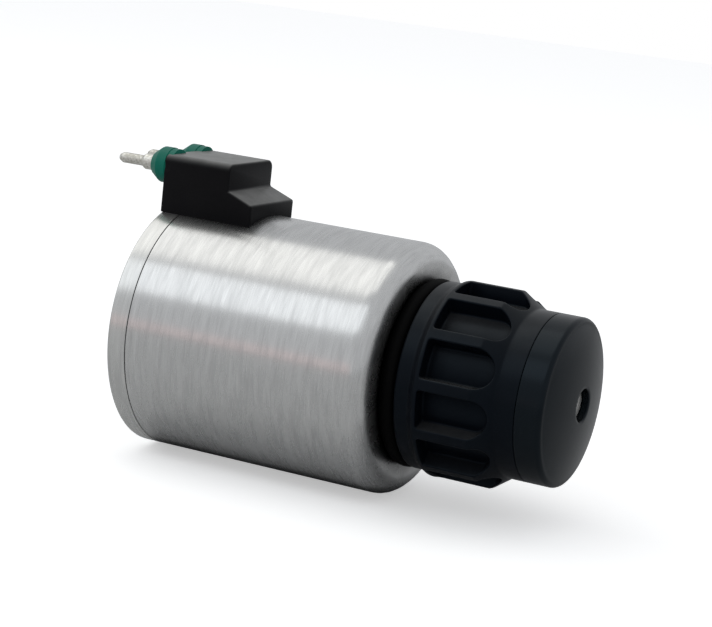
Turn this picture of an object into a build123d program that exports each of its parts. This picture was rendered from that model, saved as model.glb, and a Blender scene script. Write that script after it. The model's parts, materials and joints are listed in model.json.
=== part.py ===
"""Wet-armature solenoid operator of a directional cartridge valve, with a hand-tightened coil nut.

Frame: X runs along the tube axis, from the valve face (X = 0) to the manual override button.
Z is up, through the plug-in connector. All sizes are millimetres.
"""

from build123d import *

import math
import os

# ---------------------------------------------------------------- fits
MOULDED_GAP = 0.02          # pieces pressed, moulded or soldered together
ASSEMBLY_GAP = 0.05         # pieces that slip together by hand and then stay put
RUNNING_GAP = 0.05          # radial gap of a pin that slides in its bush
ARMATURE_GAP = 0.10         # radial gap of the armature in its tube
LOOSE_GAP = 0.15            # radial gap between the coil and the tube it slips over
CUT_PAST = 1.0              # how far a cut runs past the face it starts from

# ---------------------------------------------------------------- edge rounding
FINE_EDGE_R = 0.2
EDGE_R = 0.3
SOFT_EDGE_R = 0.5
LEAD_IN_R = 0.6

# ---------------------------------------------------------------- coil can and back plate
COIL_D = 46.0
COIL_LENGTH = 51.4          # valve face to the can's front face
CAN_WALL = 2.2
CAN_FRONT_WALL = 4.0
CAN_SHOULDER_R = 3.5
BACK_PLATE_T = 3.6
BACK_PLATE_EDGE = 0.4
SEAM_GAP = 0.3
SPIGOT_LENGTH = 3.4         # how far the back plate reaches into the can

# ---------------------------------------------------------------- winding
BOBBIN_WALL = 1.2
BOBBIN_FLANGE_T = 1.6
POTTING_T = 2.75

# ---------------------------------------------------------------- armature tube
TUBE_D = 20.0
TUBE_WALL = 1.4
TUBE_SHOULDER = 1.6         # tube diameter carried past the can's front face
POLE_LENGTH = 18.0
POLE_RECESS_DEPTH = 2.5
POLE_RIM = 2.3              # wall left around the recess in the pole face
SPACER_OVERLAP = 3.0        # non-magnetic ring, each side of the pole face
POLE_SINK = 0.5             # valve face to the tube's rear shoulder
STUB_LENGTH = 5.8
STUB_STEP = 1.0             # tube radius less stub radius
STUB_PITCH = 1.5
STUB_THREAD_DEPTH = 0.8
STUB_LEAD_IN = 0.6
STUB_RELIEF = 0.9

# ---------------------------------------------------------------- armature and push pin
STROKE = 3.0
STOP_GAP = 0.05             # left between the shim and the pole at full stroke
SHIM_T = 0.3
SHIM_INSET = 0.4            # nose radius less shim radius
NOSE_CLEARANCE = 0.2        # armature shoulder to pole face at full stroke
NOSE_STEP = 1.0             # armature radius less nose radius
ARMATURE_END_GAP = 1.5
ARMATURE_SLOT_W = 2.0
ARMATURE_SLOT_DEPTH = 1.2
PUSH_PIN_D = 3.0
PUSH_PIN_REACH = 7.0        # past the valve face at rest
PUSH_PIN_GRIP = 11.0        # length held in the armature
BUSH_WALL = 1.5
BUSH_LENGTH = 9.0
BUSH_RECESS = 0.8
PIN_WAY_GAP = 0.4           # around the push pin in front of its bush

# ---------------------------------------------------------------- end plug and manual override
PLUG_SPIGOT = 5.4           # can's front face to the plug's inner end
PLUG_RIM_T = 1.2            # plug's rim, in front of the tube
PLUG_THREAD_STEP = 1.4      # tube radius less thread radius
PLUG_THREAD_LENGTH = 13.5
PLUG_HEX_AF = 13.0
PLUG_HEX_LENGTH = 3.5
PLUG_BOSS_D = 10.0
PLUG_BOSS_LENGTH = 7.5
CHAMBER_D = 8.8
CHAMBER_LENGTH = 14.0
SPRING_SEAT_T = 1.5
BUTTON_D = 5.3
BUTTON_SINK = 1.3           # button end below the cap's nose
PUSHER_D = 3.6
COLLAR_D = 8.0
COLLAR_T = 2.4
PLUG_SEAL_OFFSET = 3.0      # from the chamber's front end
PLUG_SEAL_SECTION = 1.3
PLUG_SEAL_SLACK = 0.4       # groove width less seal section

# ---------------------------------------------------------------- springs
SPRING_WIRE = 0.7
SPRING_TURNS = 7
OVERRIDE_SPRING_D = 5.7     # at the middle of the wire
ARMATURE_SPRING_D = 5.4
SPRING_POCKET_D = 7.2
SPRING_POCKET_DEPTH = 7.0   # in the pole, below the recess
SPRING_NOSE_DEPTH = 2.0     # in the armature's nose

# ---------------------------------------------------------------- coil nut
INSERT_WALL = 2.4
INSERT_LENGTH = 12.4        # hexagon barrel inside the plastic
INSERT_FLANGE_STEP = 1.2    # flange radius less the hexagon's corner radius
INSERT_OVERLAP = 0.5        # how far the hexagon starts inside its flange
INSERT_LIP = 1.0            # step of the grip's bore that holds the insert
COUNTERBORE_GAP = 0.6       # insert's counterbore past the tube's shoulder
NUT_WALL = 2.1
FLANGE_GAP = 3.2            # can face to nut flange, filled by the flange seal
FLANGE_RISE = 2.2           # above the grip's root radius
FLANGE_W = 4.6
RAMP_START = 1.8            # ramp from flange to ribs, behind the pockets
RAMP_END = 0.6
RIB_COUNT = 12
RIB_W = 2.15
RIB_RISE = 2.95
RIB_LENGTH = 9.7
RIB_PHASE = 9.0             # degrees from +Z to the first pocket's centre
NUT_CONE_LENGTH = 3.6
RING_RISE = 0.3
RING_LENGTH = 3.85
NUT_FRONT_WALL = 2.1
NUT_SEAM_EDGE = 0.15

# ---------------------------------------------------------------- nut cap
CAP_RIM_LENGTH = 4.9
CAP_RIM_EDGE_R = 0.95
CAP_DOME_RISE = 1.93
CAP_FACE_T = 2.2
CAP_SPIGOT_LENGTH = 3.3
CAP_SPIGOT_WALL = 1.5
CAP_HOLE_D = 5.9
CAP_HOLE_EDGE = 0.2

# ---------------------------------------------------------------- seals
TUBE_SEAL_SECTION = 1.9
TUBE_SEAL_SLACK = 0.2       # room outside the front tube seal
SEAL_GROOVE_W = 3.0
SEAL_GROOVE_LAND = 1.0      # between the back plate's bore and its groove
FLANGE_SEAL_GAP = 0.12      # between the insert's flange and the flange seal

# ---------------------------------------------------------------- plug-in connector
BLOCK_W = 16.4
BLOCK_REAR = -0.3
BLOCK_LENGTH = 13.8
BLOCK_RISE = 9.2            # above the can
BLOCK_EDGE_R = 1.5
STEP_DROP = 4.9             # top face to the foot of the front face
FOOT_LENGTH = 5.1
FOOT_DROP = 1.9
FOOT_EDGE_R = 0.5
NECK_W = 12.4
NECK_LENGTH = 7.9
NECK_SETBACK = 0.3          # behind it, clear of the back plate
PIN_SPACING = 9.84
PIN_RISE = 6.8              # pin axis above the can
PIN_D = 2.0
PIN_TIP = -11.8
PIN_TIP_LENGTH = 0.9
PIN_TIP_D = 0.7
PIN_COLLAR_D = 3.0
PIN_COLLAR_LENGTH = 2.8
PIN_COLLAR_TAPER = 0.8
PIN_INNER_END = 10.4
PIN_SEAL_D = 6.7
PIN_SEAL_REAR = -3.95
PIN_SEAL_CONE = 1.75
PIN_SEAL_NOSE_D = 4.2
PIN_SEAL_SINK = 1.25        # how deep the seal's head sits in the block
PIN_SEAL_STEM_D = 4.4
PIN_SEAL_STEM_LENGTH = 3.6
LEAD_D = 0.9
LEAD_INSET = 0.8            # lead axis behind the pin's inner end

# ---------------------------------------------------------------- worked out from the above
coil_r = COIL_D / 2
can_inner_r = coil_r - CAN_WALL
can_rear = BACK_PLATE_T + SEAM_GAP
can_front_inner = COIL_LENGTH - CAN_FRONT_WALL
spigot_end = BACK_PLATE_T + SPIGOT_LENGTH

tube_r = TUBE_D / 2
tube_bore_r = tube_r - TUBE_WALL
coil_bore_r = tube_r + LOOSE_GAP
groove_inner_r = coil_bore_r + SEAL_GROOVE_LAND
stub_r = tube_r - STUB_STEP
thread_r = tube_r - PLUG_THREAD_STEP

bobbin_outer_r = coil_bore_r + BOBBIN_WALL
winding_r = can_inner_r - POTTING_T
bobbin_rear = spigot_end + ASSEMBLY_GAP
bobbin_front = can_front_inner - ASSEMBLY_GAP
winding_rear = bobbin_rear + BOBBIN_FLANGE_T
winding_front = bobbin_front - BOBBIN_FLANGE_T

pole_recess_r = tube_r - POLE_RIM
recess_floor = POLE_LENGTH - POLE_RECESS_DEPTH
spacer_rear = POLE_LENGTH - SPACER_OVERLAP
spacer_front = POLE_LENGTH + SPACER_OVERLAP
spacer_inner_r = tube_r - TUBE_WALL / 2

plug_rear = COIL_LENGTH - PLUG_SPIGOT
shoulder_front = COIL_LENGTH + TUBE_SHOULDER
sleeve_front = shoulder_front - PLUG_RIM_T
thread_front = shoulder_front + PLUG_THREAD_LENGTH
hex_front = thread_front + PLUG_HEX_LENGTH
boss_front = hex_front + PLUG_BOSS_LENGTH
chamber_front = plug_rear + CHAMBER_LENGTH
seat_front = plug_rear + SPRING_SEAT_T

shim_rear = recess_floor + STOP_GAP + STROKE
nose_rear = shim_rear + SHIM_T
nose_front = POLE_LENGTH + STROKE + NOSE_CLEARANCE
armature_front = plug_rear - ARMATURE_END_GAP
armature_r = tube_bore_r - ARMATURE_GAP
nose_r = armature_r - NOSE_STEP
push_pin_r = PUSH_PIN_D / 2
bush_r = push_pin_r + BUSH_WALL
bush_rear = BUSH_RECESS - STUB_LENGTH
bush_front = bush_rear + BUSH_LENGTH
pocket_rear = recess_floor - SPRING_POCKET_DEPTH

insert_bore_r = thread_r + RUNNING_GAP
insert_af = 2 * (thread_r + INSERT_WALL)
insert_corner_r = insert_af / math.sqrt(3)
grip_root_r = insert_corner_r + NUT_WALL
flange_r = grip_root_r + FLANGE_RISE
rib_tip_r = grip_root_r + RIB_RISE
ring_r = grip_root_r + RING_RISE
nut_rear = COIL_LENGTH + ASSEMBLY_GAP
flange_rear = COIL_LENGTH + FLANGE_GAP
insert_flange_r = insert_corner_r + INSERT_FLANGE_STEP
insert_front = flange_rear + INSERT_LENGTH
rib_rear = flange_rear + FLANGE_W
rib_front = rib_rear + RIB_LENGTH
ring_rear = rib_front + NUT_CONE_LENGTH
cap_seam = ring_rear + RING_LENGTH
nut_mouth_r = ring_r - NUT_FRONT_WALL
pocket_half_w = rib_tip_r * math.sin(math.pi / RIB_COUNT) - RIB_W / 2

cap_edge = cap_seam + CAP_RIM_LENGTH
cap_nose = cap_edge + CAP_DOME_RISE
cap_hole_r = CAP_HOLE_D / 2
cap_spigot_r = nut_mouth_r - ASSEMBLY_GAP
button_end = cap_nose - BUTTON_SINK
button_r = BUTTON_D / 2
collar_front = chamber_front - ASSEMBLY_GAP
collar_rear = collar_front - COLLAR_T

flange_seal_section = FLANGE_GAP - 2 * ASSEMBLY_GAP
flange_seal_r = insert_flange_r + FLANGE_SEAL_GAP + flange_seal_section / 2

block_top = coil_r + BLOCK_RISE
block_front = BLOCK_REAR + BLOCK_LENGTH
foot_top = block_top - STEP_DROP
foot_front = block_front + FOOT_LENGTH
neck_rear = can_rear + NECK_SETBACK
neck_front = neck_rear + NECK_LENGTH
neck_floor = math.sqrt(winding_r**2 - NECK_W**2 / 4)
pin_z = coil_r + PIN_RISE
pin_y = PIN_SPACING / 2
pin_collar_rear = PIN_SEAL_REAR - PIN_COLLAR_LENGTH
seal_head_front = BLOCK_REAR + PIN_SEAL_SINK
seal_stem_front = seal_head_front + PIN_SEAL_STEM_LENGTH
lead_x = PIN_INNER_END - LEAD_INSET


# ---------------------------------------------------------------- helpers
def turned(*corners):
    """A solid of revolution about X. Each corner is (x, radius) or (x, radius, corner rounding)."""
    points = [corner[:2] for corner in corners]
    rounding = [corner[2] if len(corner) > 2 else 0 for corner in corners]
    return revolve(make_face(FilletPolyline(*points, radius=rounding, close=True)), Axis.X, 360)


def rod(x_start, x_end, radius):
    """A plain round bar along X."""
    return Pos((x_start + x_end) / 2, 0, 0) * Rot(0, 90, 0) * Cylinder(radius, x_end - x_start)


def sleeve(x_start, x_end, inner_r, outer_r):
    """A plain round tube along X."""
    return rod(x_start, x_end, outer_r) - rod(x_start - CUT_PAST, x_end + CUT_PAST, inner_r)


def o_ring(x_centre, centre_r, section):
    """A rubber ring about X."""
    return Pos(x_centre, 0, 0) * Rot(0, 90, 0) * Torus(centre_r, section / 2)


def hexagon_bar(x_start, x_end, across_flats):
    """A hexagonal bar along X."""
    outline = RegularPolygon(across_flats / math.sqrt(3), 6)
    return Pos(x_start, 0, 0) * extrude(Plane.YZ * outline, x_end - x_start)


def coil_spring(x_start, x_end, mean_d):
    """A helical spring along X with plain ends."""
    inset = 0.75 * SPRING_WIRE
    length = x_end - x_start - 2 * inset
    start = (x_start + inset, 0, 0)
    path = Helix(length / SPRING_TURNS, length, mean_d / 2, center=start, direction=(1, 0, 0))
    wire = Plane(origin=path @ 0, z_dir=path % 0) * Circle(SPRING_WIRE / 2)
    return sweep(wire, path=path, is_frenet=True)


def upright_box(x_start, x_end, width, z_start, z_end):
    """A box centred on Y."""
    middle = Pos((x_start + x_end) / 2, 0, (z_start + z_end) / 2)
    return middle * Box(x_end - x_start, width, z_end - z_start)


# ---------------------------------------------------------------- coil
def neck_slot(gap):
    """The way through the can's rear edge for the connector's neck, with a gap all round."""
    return upright_box(neck_rear - gap, neck_front + gap, NECK_W + 2 * gap, neck_floor - gap, block_top)


def coil_can():
    """Drawn steel can: flux path, outer skin and front wall in one piece."""
    can = turned(
        (can_rear, can_inner_r),
        (can_front_inner, can_inner_r),
        (can_front_inner, coil_bore_r),
        (COIL_LENGTH, coil_bore_r),
        (COIL_LENGTH, coil_r, CAN_SHOULDER_R),
        (can_rear, coil_r, BACK_PLATE_EDGE / 2),
    )
    seal_recess = sleeve(
        COIL_LENGTH - TUBE_SEAL_SECTION - ASSEMBLY_GAP,
        COIL_LENGTH + CUT_PAST,
        tube_r,
        tube_r + 2 * LOOSE_GAP + TUBE_SEAL_SECTION + TUBE_SEAL_SLACK,
    )
    open_slot = Pos(-SPIGOT_LENGTH, 0, 0) * neck_slot(ASSEMBLY_GAP)
    return can - seal_recess - neck_slot(ASSEMBLY_GAP) - open_slot


def back_plate():
    """Rear flux plate with its locating spigot and the groove of the face seal."""
    plate = turned(
        (0, coil_bore_r),
        (0, coil_r, BACK_PLATE_EDGE),
        (BACK_PLATE_T, coil_r, BACK_PLATE_EDGE / 2),
        (BACK_PLATE_T, can_inner_r - MOULDED_GAP),
        (spigot_end, can_inner_r - MOULDED_GAP),
        (spigot_end, coil_bore_r),
    )
    groove = sleeve(-CUT_PAST, TUBE_SEAL_SECTION, groove_inner_r, groove_inner_r + SEAL_GROOVE_W)
    slot_w = NECK_W + 2 * ASSEMBLY_GAP
    slot = upright_box(BACK_PLATE_T, spigot_end + CUT_PAST, slot_w, neck_floor - ASSEMBLY_GAP, coil_r)
    return plate - groove - slot


def bobbin():
    """Plastic spool that carries the winding."""
    flange_r = can_inner_r - ASSEMBLY_GAP
    spool = turned(
        (bobbin_rear, coil_bore_r),
        (bobbin_rear, flange_r),
        (winding_rear, flange_r),
        (winding_rear, bobbin_outer_r),
        (winding_front, bobbin_outer_r),
        (winding_front, flange_r),
        (bobbin_front, flange_r),
        (bobbin_front, coil_bore_r),
    )
    return spool - neck_slot(ASSEMBLY_GAP)


def winding():
    """Copper winding, as the outline of its layers."""
    x_start = winding_rear + MOULDED_GAP
    return sleeve(x_start, winding_front - MOULDED_GAP, bobbin_outer_r + MOULDED_GAP, winding_r)


def potting():
    """Cast resin between the winding and the can."""
    fill = sleeve(
        winding_rear + MOULDED_GAP,
        winding_front - MOULDED_GAP,
        winding_r + MOULDED_GAP,
        can_inner_r - MOULDED_GAP,
    )
    return fill - neck_slot(MOULDED_GAP)


# ---------------------------------------------------------------- connector
def pin_axis(side):
    """Places a piece turned about X on the near (-1) or far (+1) terminal axis."""
    return Pos(0, side * pin_y, pin_z)


def connector_side():
    """The block's outline, seen from the side."""
    below = coil_r / 2
    return FilletPolyline(
        (BLOCK_REAR, below),
        (BLOCK_REAR, block_top),
        (block_front, block_top),
        (block_front, foot_top),
        (foot_front, foot_top - FOOT_DROP),
        (foot_front, below),
        radius=[0, 0, FOOT_EDGE_R, FOOT_EDGE_R, FOOT_EDGE_R, 0],
        close=True,
    )


def connector_block():
    """The moulded block with its rounded top edges, before anything is cut from it."""
    side = make_face(connector_side())
    block = extrude(Plane.XZ * side, BLOCK_W / 2, both=True)
    rounded = RectangleRounded(BLOCK_W, 2 * block_top, BLOCK_EDGE_R)
    return block & extrude(Plane.YZ * rounded, 2 * foot_front, both=True)


def connector_housing():
    """Connector block that sits on the can, with the neck that carries the leads to the winding."""
    saddle = rod(BLOCK_REAR - CUT_PAST, foot_front + CUT_PAST, coil_r + MOULDED_GAP)
    neck = upright_box(neck_rear, neck_front, NECK_W, 0, coil_r + CUT_PAST)
    neck -= rod(0, foot_front, winding_r + MOULDED_GAP)
    housing = (connector_block() - saddle) + neck
    for side in (-1, 1):
        housing -= pin_axis(side) * rod(BLOCK_REAR - CUT_PAST, seal_head_front, PIN_SEAL_D / 2 + MOULDED_GAP)
        housing -= pin_axis(side) * rod(BLOCK_REAR, seal_stem_front, PIN_SEAL_STEM_D / 2 + MOULDED_GAP)
        housing -= pin_axis(side) * rod(BLOCK_REAR, PIN_INNER_END + MOULDED_GAP, PIN_D / 2 + MOULDED_GAP)
        housing -= lead_wire(side, MOULDED_GAP)
    return housing


def terminal_pin(side):
    """Tinned round terminal pin with a tapered collar behind its seal."""
    pin_r = PIN_D / 2
    pin = turned(
        (PIN_TIP, 0),
        (PIN_TIP, PIN_TIP_D / 2),
        (PIN_TIP + PIN_TIP_LENGTH, pin_r, LEAD_IN_R),
        (pin_collar_rear, pin_r),
        (pin_collar_rear + PIN_COLLAR_TAPER, PIN_COLLAR_D / 2),
        (PIN_SEAL_REAR - MOULDED_GAP, PIN_COLLAR_D / 2),
        (PIN_SEAL_REAR - MOULDED_GAP, pin_r),
        (PIN_INNER_END, pin_r),
        (PIN_INNER_END, 0),
    )
    return pin_axis(side) * pin


def pin_seal(side):
    """Rubber seal on a terminal pin: a cone, a fat head and a thin stem in the block."""
    bore_r = PIN_D / 2 + MOULDED_GAP
    head_r = PIN_SEAL_D / 2
    seal = turned(
        (PIN_SEAL_REAR, bore_r),
        (PIN_SEAL_REAR, PIN_SEAL_NOSE_D / 2, FINE_EDGE_R),
        (PIN_SEAL_REAR + PIN_SEAL_CONE, head_r, SOFT_EDGE_R),
        (seal_head_front - MOULDED_GAP, head_r),
        (seal_head_front - MOULDED_GAP, PIN_SEAL_STEM_D / 2),
        (seal_stem_front - MOULDED_GAP, PIN_SEAL_STEM_D / 2),
        (seal_stem_front - MOULDED_GAP, bore_r),
    )
    return pin_axis(side) * seal


def lead_wire(side, gap=0.0):
    """Lead from a terminal pin down to the winding, or the hole that it lies in."""
    foot = math.sqrt(winding_r**2 - (pin_y - LEAD_D / 2) ** 2) + MOULDED_GAP
    head = pin_z - PIN_D / 2 - MOULDED_GAP
    length = head - foot + 2 * gap
    return Pos(lead_x, side * pin_y, (head + foot) / 2) * Cylinder(LEAD_D / 2 + gap, length)


# ---------------------------------------------------------------- armature tube
def stub_profile():
    """Thread stub, as rings at the thread's pitch, from its tip to its relief."""
    root_r = stub_r - STUB_THREAD_DEPTH
    crest = STUB_PITCH / 4
    slope = (STUB_PITCH - 2 * crest) / 2
    x = STUB_LEAD_IN - STUB_LENGTH
    corners = [(-STUB_LENGTH, root_r)]
    while x + crest < -STUB_RELIEF:
        corners += [(x, stub_r), (x + crest, stub_r), (x + crest + slope, root_r)]
        x += STUB_PITCH
        if x + crest < -STUB_RELIEF:
            corners.append((x - slope, root_r))
    return corners + [(POLE_SINK, root_r)]


def pole_piece():
    """Fixed pole: threaded stub for the valve, seat shoulder, pin bore, spring pocket and pole face."""
    pole = turned(
        (-STUB_LENGTH, 0),
        *stub_profile(),
        (POLE_SINK, tube_r),
        (spacer_rear, tube_r),
        (spacer_rear, spacer_inner_r - MOULDED_GAP),
        (POLE_LENGTH, spacer_inner_r - MOULDED_GAP),
        (POLE_LENGTH, 0),
    )
    pin_way = rod(-STUB_LENGTH - CUT_PAST, POLE_LENGTH + CUT_PAST, push_pin_r + PIN_WAY_GAP)
    bush_seat = rod(-STUB_LENGTH - CUT_PAST, bush_front, bush_r + MOULDED_GAP)
    pocket = rod(pocket_rear, POLE_LENGTH + CUT_PAST, SPRING_POCKET_D / 2)
    recess = rod(recess_floor, POLE_LENGTH + CUT_PAST, pole_recess_r)
    return pole - pin_way - bush_seat - pocket - recess


def spacer_ring():
    """Non-magnetic ring that joins the pole to the tube."""
    return turned(
        (spacer_rear + MOULDED_GAP, spacer_inner_r),
        (spacer_rear + MOULDED_GAP, tube_r),
        (spacer_front, tube_r),
        (spacer_front, tube_bore_r),
        (POLE_LENGTH + MOULDED_GAP, tube_bore_r),
        (POLE_LENGTH + MOULDED_GAP, spacer_inner_r),
    )


def guide_tube():
    """Steel tube that the armature slides in."""
    return sleeve(spacer_front + MOULDED_GAP, sleeve_front, tube_bore_r, tube_r)


def pin_bush():
    """Bronze bush that guides the push pin through the pole."""
    return sleeve(bush_rear, bush_front - MOULDED_GAP, push_pin_r + RUNNING_GAP, bush_r)


def end_plug():
    """Plug that closes the tube, carries the nut's thread and guides the override button."""
    plug = turned(
        (plug_rear, 0),
        (plug_rear, tube_bore_r - MOULDED_GAP, EDGE_R),
        (sleeve_front + MOULDED_GAP, tube_bore_r - MOULDED_GAP),
        (sleeve_front + MOULDED_GAP, tube_r),
        (shoulder_front, tube_r, EDGE_R),
        (shoulder_front, thread_r),
        (thread_front, thread_r, LEAD_IN_R),
        (thread_front, 0),
    )
    plug += hexagon_bar(thread_front, hex_front, PLUG_HEX_AF)
    plug += turned(
        (hex_front, 0),
        (hex_front, PLUG_BOSS_D / 2),
        (boss_front, PLUG_BOSS_D / 2, SOFT_EDGE_R),
        (boss_front, 0),
    )
    groove_rear = chamber_front + PLUG_SEAL_OFFSET
    groove_front = groove_rear + PLUG_SEAL_SECTION + PLUG_SEAL_SLACK
    plug -= rod(plug_rear - CUT_PAST, chamber_front, CHAMBER_D / 2)
    plug -= rod(chamber_front - CUT_PAST, boss_front + CUT_PAST, button_r + RUNNING_GAP)
    plug -= rod(groove_rear, groove_front, button_r + PLUG_SEAL_SECTION + 2 * RUNNING_GAP)
    return plug


# ---------------------------------------------------------------- moving core
def armature():
    """Iron armature with two oil slots, a stepped nose and the socket of its spring."""
    core = turned(
        (nose_rear, 0),
        (nose_rear, nose_r, EDGE_R),
        (nose_front, nose_r),
        (nose_front, armature_r, EDGE_R),
        (armature_front, armature_r, LEAD_IN_R),
        (armature_front, 0),
    )
    core -= rod(nose_rear - CUT_PAST, nose_rear + PUSH_PIN_GRIP, push_pin_r + MOULDED_GAP)
    core -= rod(nose_rear - CUT_PAST, nose_rear + SPRING_NOSE_DEPTH, SPRING_POCKET_D / 2)
    slot = Box(2 * armature_front, ARMATURE_SLOT_W, 2 * ARMATURE_SLOT_DEPTH)
    for side in (-1, 1):
        core -= Pos(0, 0, side * armature_r) * slot
    return core


def armature_shim():
    """Brass shim that keeps the armature from sticking to the pole."""
    return sleeve(shim_rear, nose_rear - MOULDED_GAP, SPRING_POCKET_D / 2, nose_r - SHIM_INSET)


def push_pin():
    """Pin that carries the armature's force to the valve."""
    return turned(
        (-PUSH_PIN_REACH, 0),
        (-PUSH_PIN_REACH, push_pin_r, SOFT_EDGE_R),
        (nose_rear + PUSH_PIN_GRIP - MOULDED_GAP, push_pin_r),
        (nose_rear + PUSH_PIN_GRIP - MOULDED_GAP, 0),
    )


def armature_spring():
    """Spring that returns the armature from the pole."""
    x_end = nose_rear + SPRING_NOSE_DEPTH - ASSEMBLY_GAP
    return coil_spring(pocket_rear + ASSEMBLY_GAP, x_end, ARMATURE_SPRING_D)


# ---------------------------------------------------------------- manual override
def override_button():
    """Stepped pin: pusher behind, collar that holds it in, and the button in the cap's hole."""
    return turned(
        (armature_front + ASSEMBLY_GAP, 0),
        (armature_front + ASSEMBLY_GAP, PUSHER_D / 2, EDGE_R),
        (collar_rear, PUSHER_D / 2),
        (collar_rear, COLLAR_D / 2),
        (collar_front, COLLAR_D / 2),
        (collar_front, button_r),
        (button_end, button_r, SOFT_EDGE_R),
        (button_end, 0),
    )


def spring_seat():
    """Washer pressed into the plug: it carries the override spring and guides the pusher."""
    return sleeve(plug_rear, seat_front, PUSHER_D / 2 + RUNNING_GAP, CHAMBER_D / 2 - MOULDED_GAP)


def override_spring():
    """Spring that returns the override button."""
    return coil_spring(seat_front + ASSEMBLY_GAP, collar_rear - ASSEMBLY_GAP, OVERRIDE_SPRING_D)


def override_seal():
    """Rubber ring around the override button."""
    seal_x = chamber_front + PLUG_SEAL_OFFSET + (PLUG_SEAL_SECTION + PLUG_SEAL_SLACK) / 2
    return o_ring(seal_x, button_r + PLUG_SEAL_SECTION / 2 + RUNNING_GAP, PLUG_SEAL_SECTION)


# ---------------------------------------------------------------- coil nut
def grip_pocket():
    """The hollow between two ribs: square at the flange and round in front, centred on +Z."""
    half_angle = math.pi / RIB_COUNT
    reach = 2 * rib_tip_r
    plan = Pos((rib_rear + rib_front) / 2, 0) * Rectangle(rib_front - rib_rear, 2 * pocket_half_w)
    plan += Pos(rib_front, 0) * Circle(pocket_half_w)
    apex = RIB_W / 2 / math.sin(half_angle)
    spread = reach * math.tan(half_angle)
    fan = Polyline((0, apex), (spread, apex + reach), (-spread, apex + reach), close=True)
    wedge = Plane.YZ * make_face(fan)
    hollow = extrude(plan, rib_tip_r + CUT_PAST) & extrude(wedge, 2 * cap_nose)
    return hollow - rod(rib_rear - CUT_PAST, cap_seam, grip_root_r)


def nut_body():
    """Black plastic grip of the coil nut: flange, ribs and front ring, moulded round its insert."""
    body = turned(
        (flange_rear, 0),
        (flange_rear, flange_r, SOFT_EDGE_R),
        (rib_rear - RAMP_START, flange_r),
        (rib_rear - RAMP_END, rib_tip_r),
        (rib_front, rib_tip_r),
        (ring_rear, ring_r),
        (cap_seam, ring_r, NUT_SEAM_EDGE),
        (cap_seam, 0),
    )
    pocket = grip_pocket()
    for index in range(RIB_COUNT):
        body -= Rot(RIB_PHASE + index * 360 / RIB_COUNT, 0, 0) * pocket
    body -= hexagon_bar(flange_rear - CUT_PAST, insert_front + MOULDED_GAP, insert_af + 2 * MOULDED_GAP)
    body -= rod(flange_rear, cap_seam + CUT_PAST, insert_af / 2 - INSERT_LIP)
    body -= rod(cap_seam - CAP_SPIGOT_LENGTH - ASSEMBLY_GAP, cap_seam + CUT_PAST, nut_mouth_r)
    return body


def nut_insert():
    """Threaded metal insert: it clamps the can, and its hexagon keeps it from turning in the grip."""
    insert = rod(nut_rear, flange_rear - MOULDED_GAP, insert_flange_r)
    insert += hexagon_bar(flange_rear - INSERT_OVERLAP, insert_front, insert_af)
    insert -= rod(nut_rear - CUT_PAST, insert_front + CUT_PAST, insert_bore_r)
    return insert - rod(nut_rear - CUT_PAST, shoulder_front + COUNTERBORE_GAP, tube_r + 2 * LOOSE_GAP)


def dome_x(dome_r, radius):
    """Where the cap's dome lies at a given distance from the axis."""
    return cap_nose - dome_r + math.sqrt(dome_r**2 - radius**2)


def nut_cap():
    """Domed cap with the hole of the override button, snapped into the grip's front."""
    inner_face = cap_edge - CAP_FACE_T + CAP_DOME_RISE / 2
    spigot_rear = cap_seam - CAP_SPIGOT_LENGTH
    rim_face_r = ring_r - CAP_RIM_EDGE_R
    edge_centre = Vector(cap_edge - CAP_RIM_EDGE_R, rim_face_r)
    edge_middle = edge_centre + Vector(CAP_RIM_EDGE_R, 0).rotate(Axis.Z, 45)
    dome_r = (rim_face_r**2 + CAP_DOME_RISE**2) / (2 * CAP_DOME_RISE)
    middle_r = (rim_face_r + cap_hole_r) / 2
    dome_middle = (dome_x(dome_r, middle_r), middle_r)
    lip_r = cap_hole_r + CAP_HOLE_EDGE
    lip_x = dome_x(dome_r, lip_r)
    outline = [
        ThreePointArc((cap_edge - CAP_RIM_EDGE_R, ring_r), edge_middle, (cap_edge, rim_face_r)),
        ThreePointArc((cap_edge, rim_face_r), dome_middle, (lip_x, lip_r)),
        Polyline(
            (lip_x, lip_r),
            (lip_x - CAP_HOLE_EDGE, cap_hole_r),
            (inner_face, cap_hole_r),
            (inner_face, cap_spigot_r - CAP_SPIGOT_WALL),
            (spigot_rear, cap_spigot_r - CAP_SPIGOT_WALL),
            (spigot_rear, cap_spigot_r),
            (cap_seam, cap_spigot_r),
            (cap_seam, ring_r - NUT_SEAM_EDGE),
            (cap_seam + NUT_SEAM_EDGE, ring_r),
            (cap_edge - CAP_RIM_EDGE_R, ring_r),
        ),
    ]
    return revolve(make_face(outline), Axis.X, 360)


# ---------------------------------------------------------------- ring seals
def flange_seal():
    """Rubber ring between the nut's flange and the can."""
    return o_ring(COIL_LENGTH + FLANGE_GAP / 2, flange_seal_r, flange_seal_section)


def front_tube_seal():
    """Rubber ring between the tube and the can's front wall."""
    x_centre = COIL_LENGTH - TUBE_SEAL_SECTION / 2 - ASSEMBLY_GAP / 2
    return o_ring(x_centre, tube_r + LOOSE_GAP + TUBE_SEAL_SECTION / 2, TUBE_SEAL_SECTION)


def rear_face_seal():
    """Rubber ring in the back plate's groove, against the valve."""
    return o_ring(TUBE_SEAL_SECTION / 2, groove_inner_r + SEAL_GROOVE_W / 2, TUBE_SEAL_SECTION)


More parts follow.
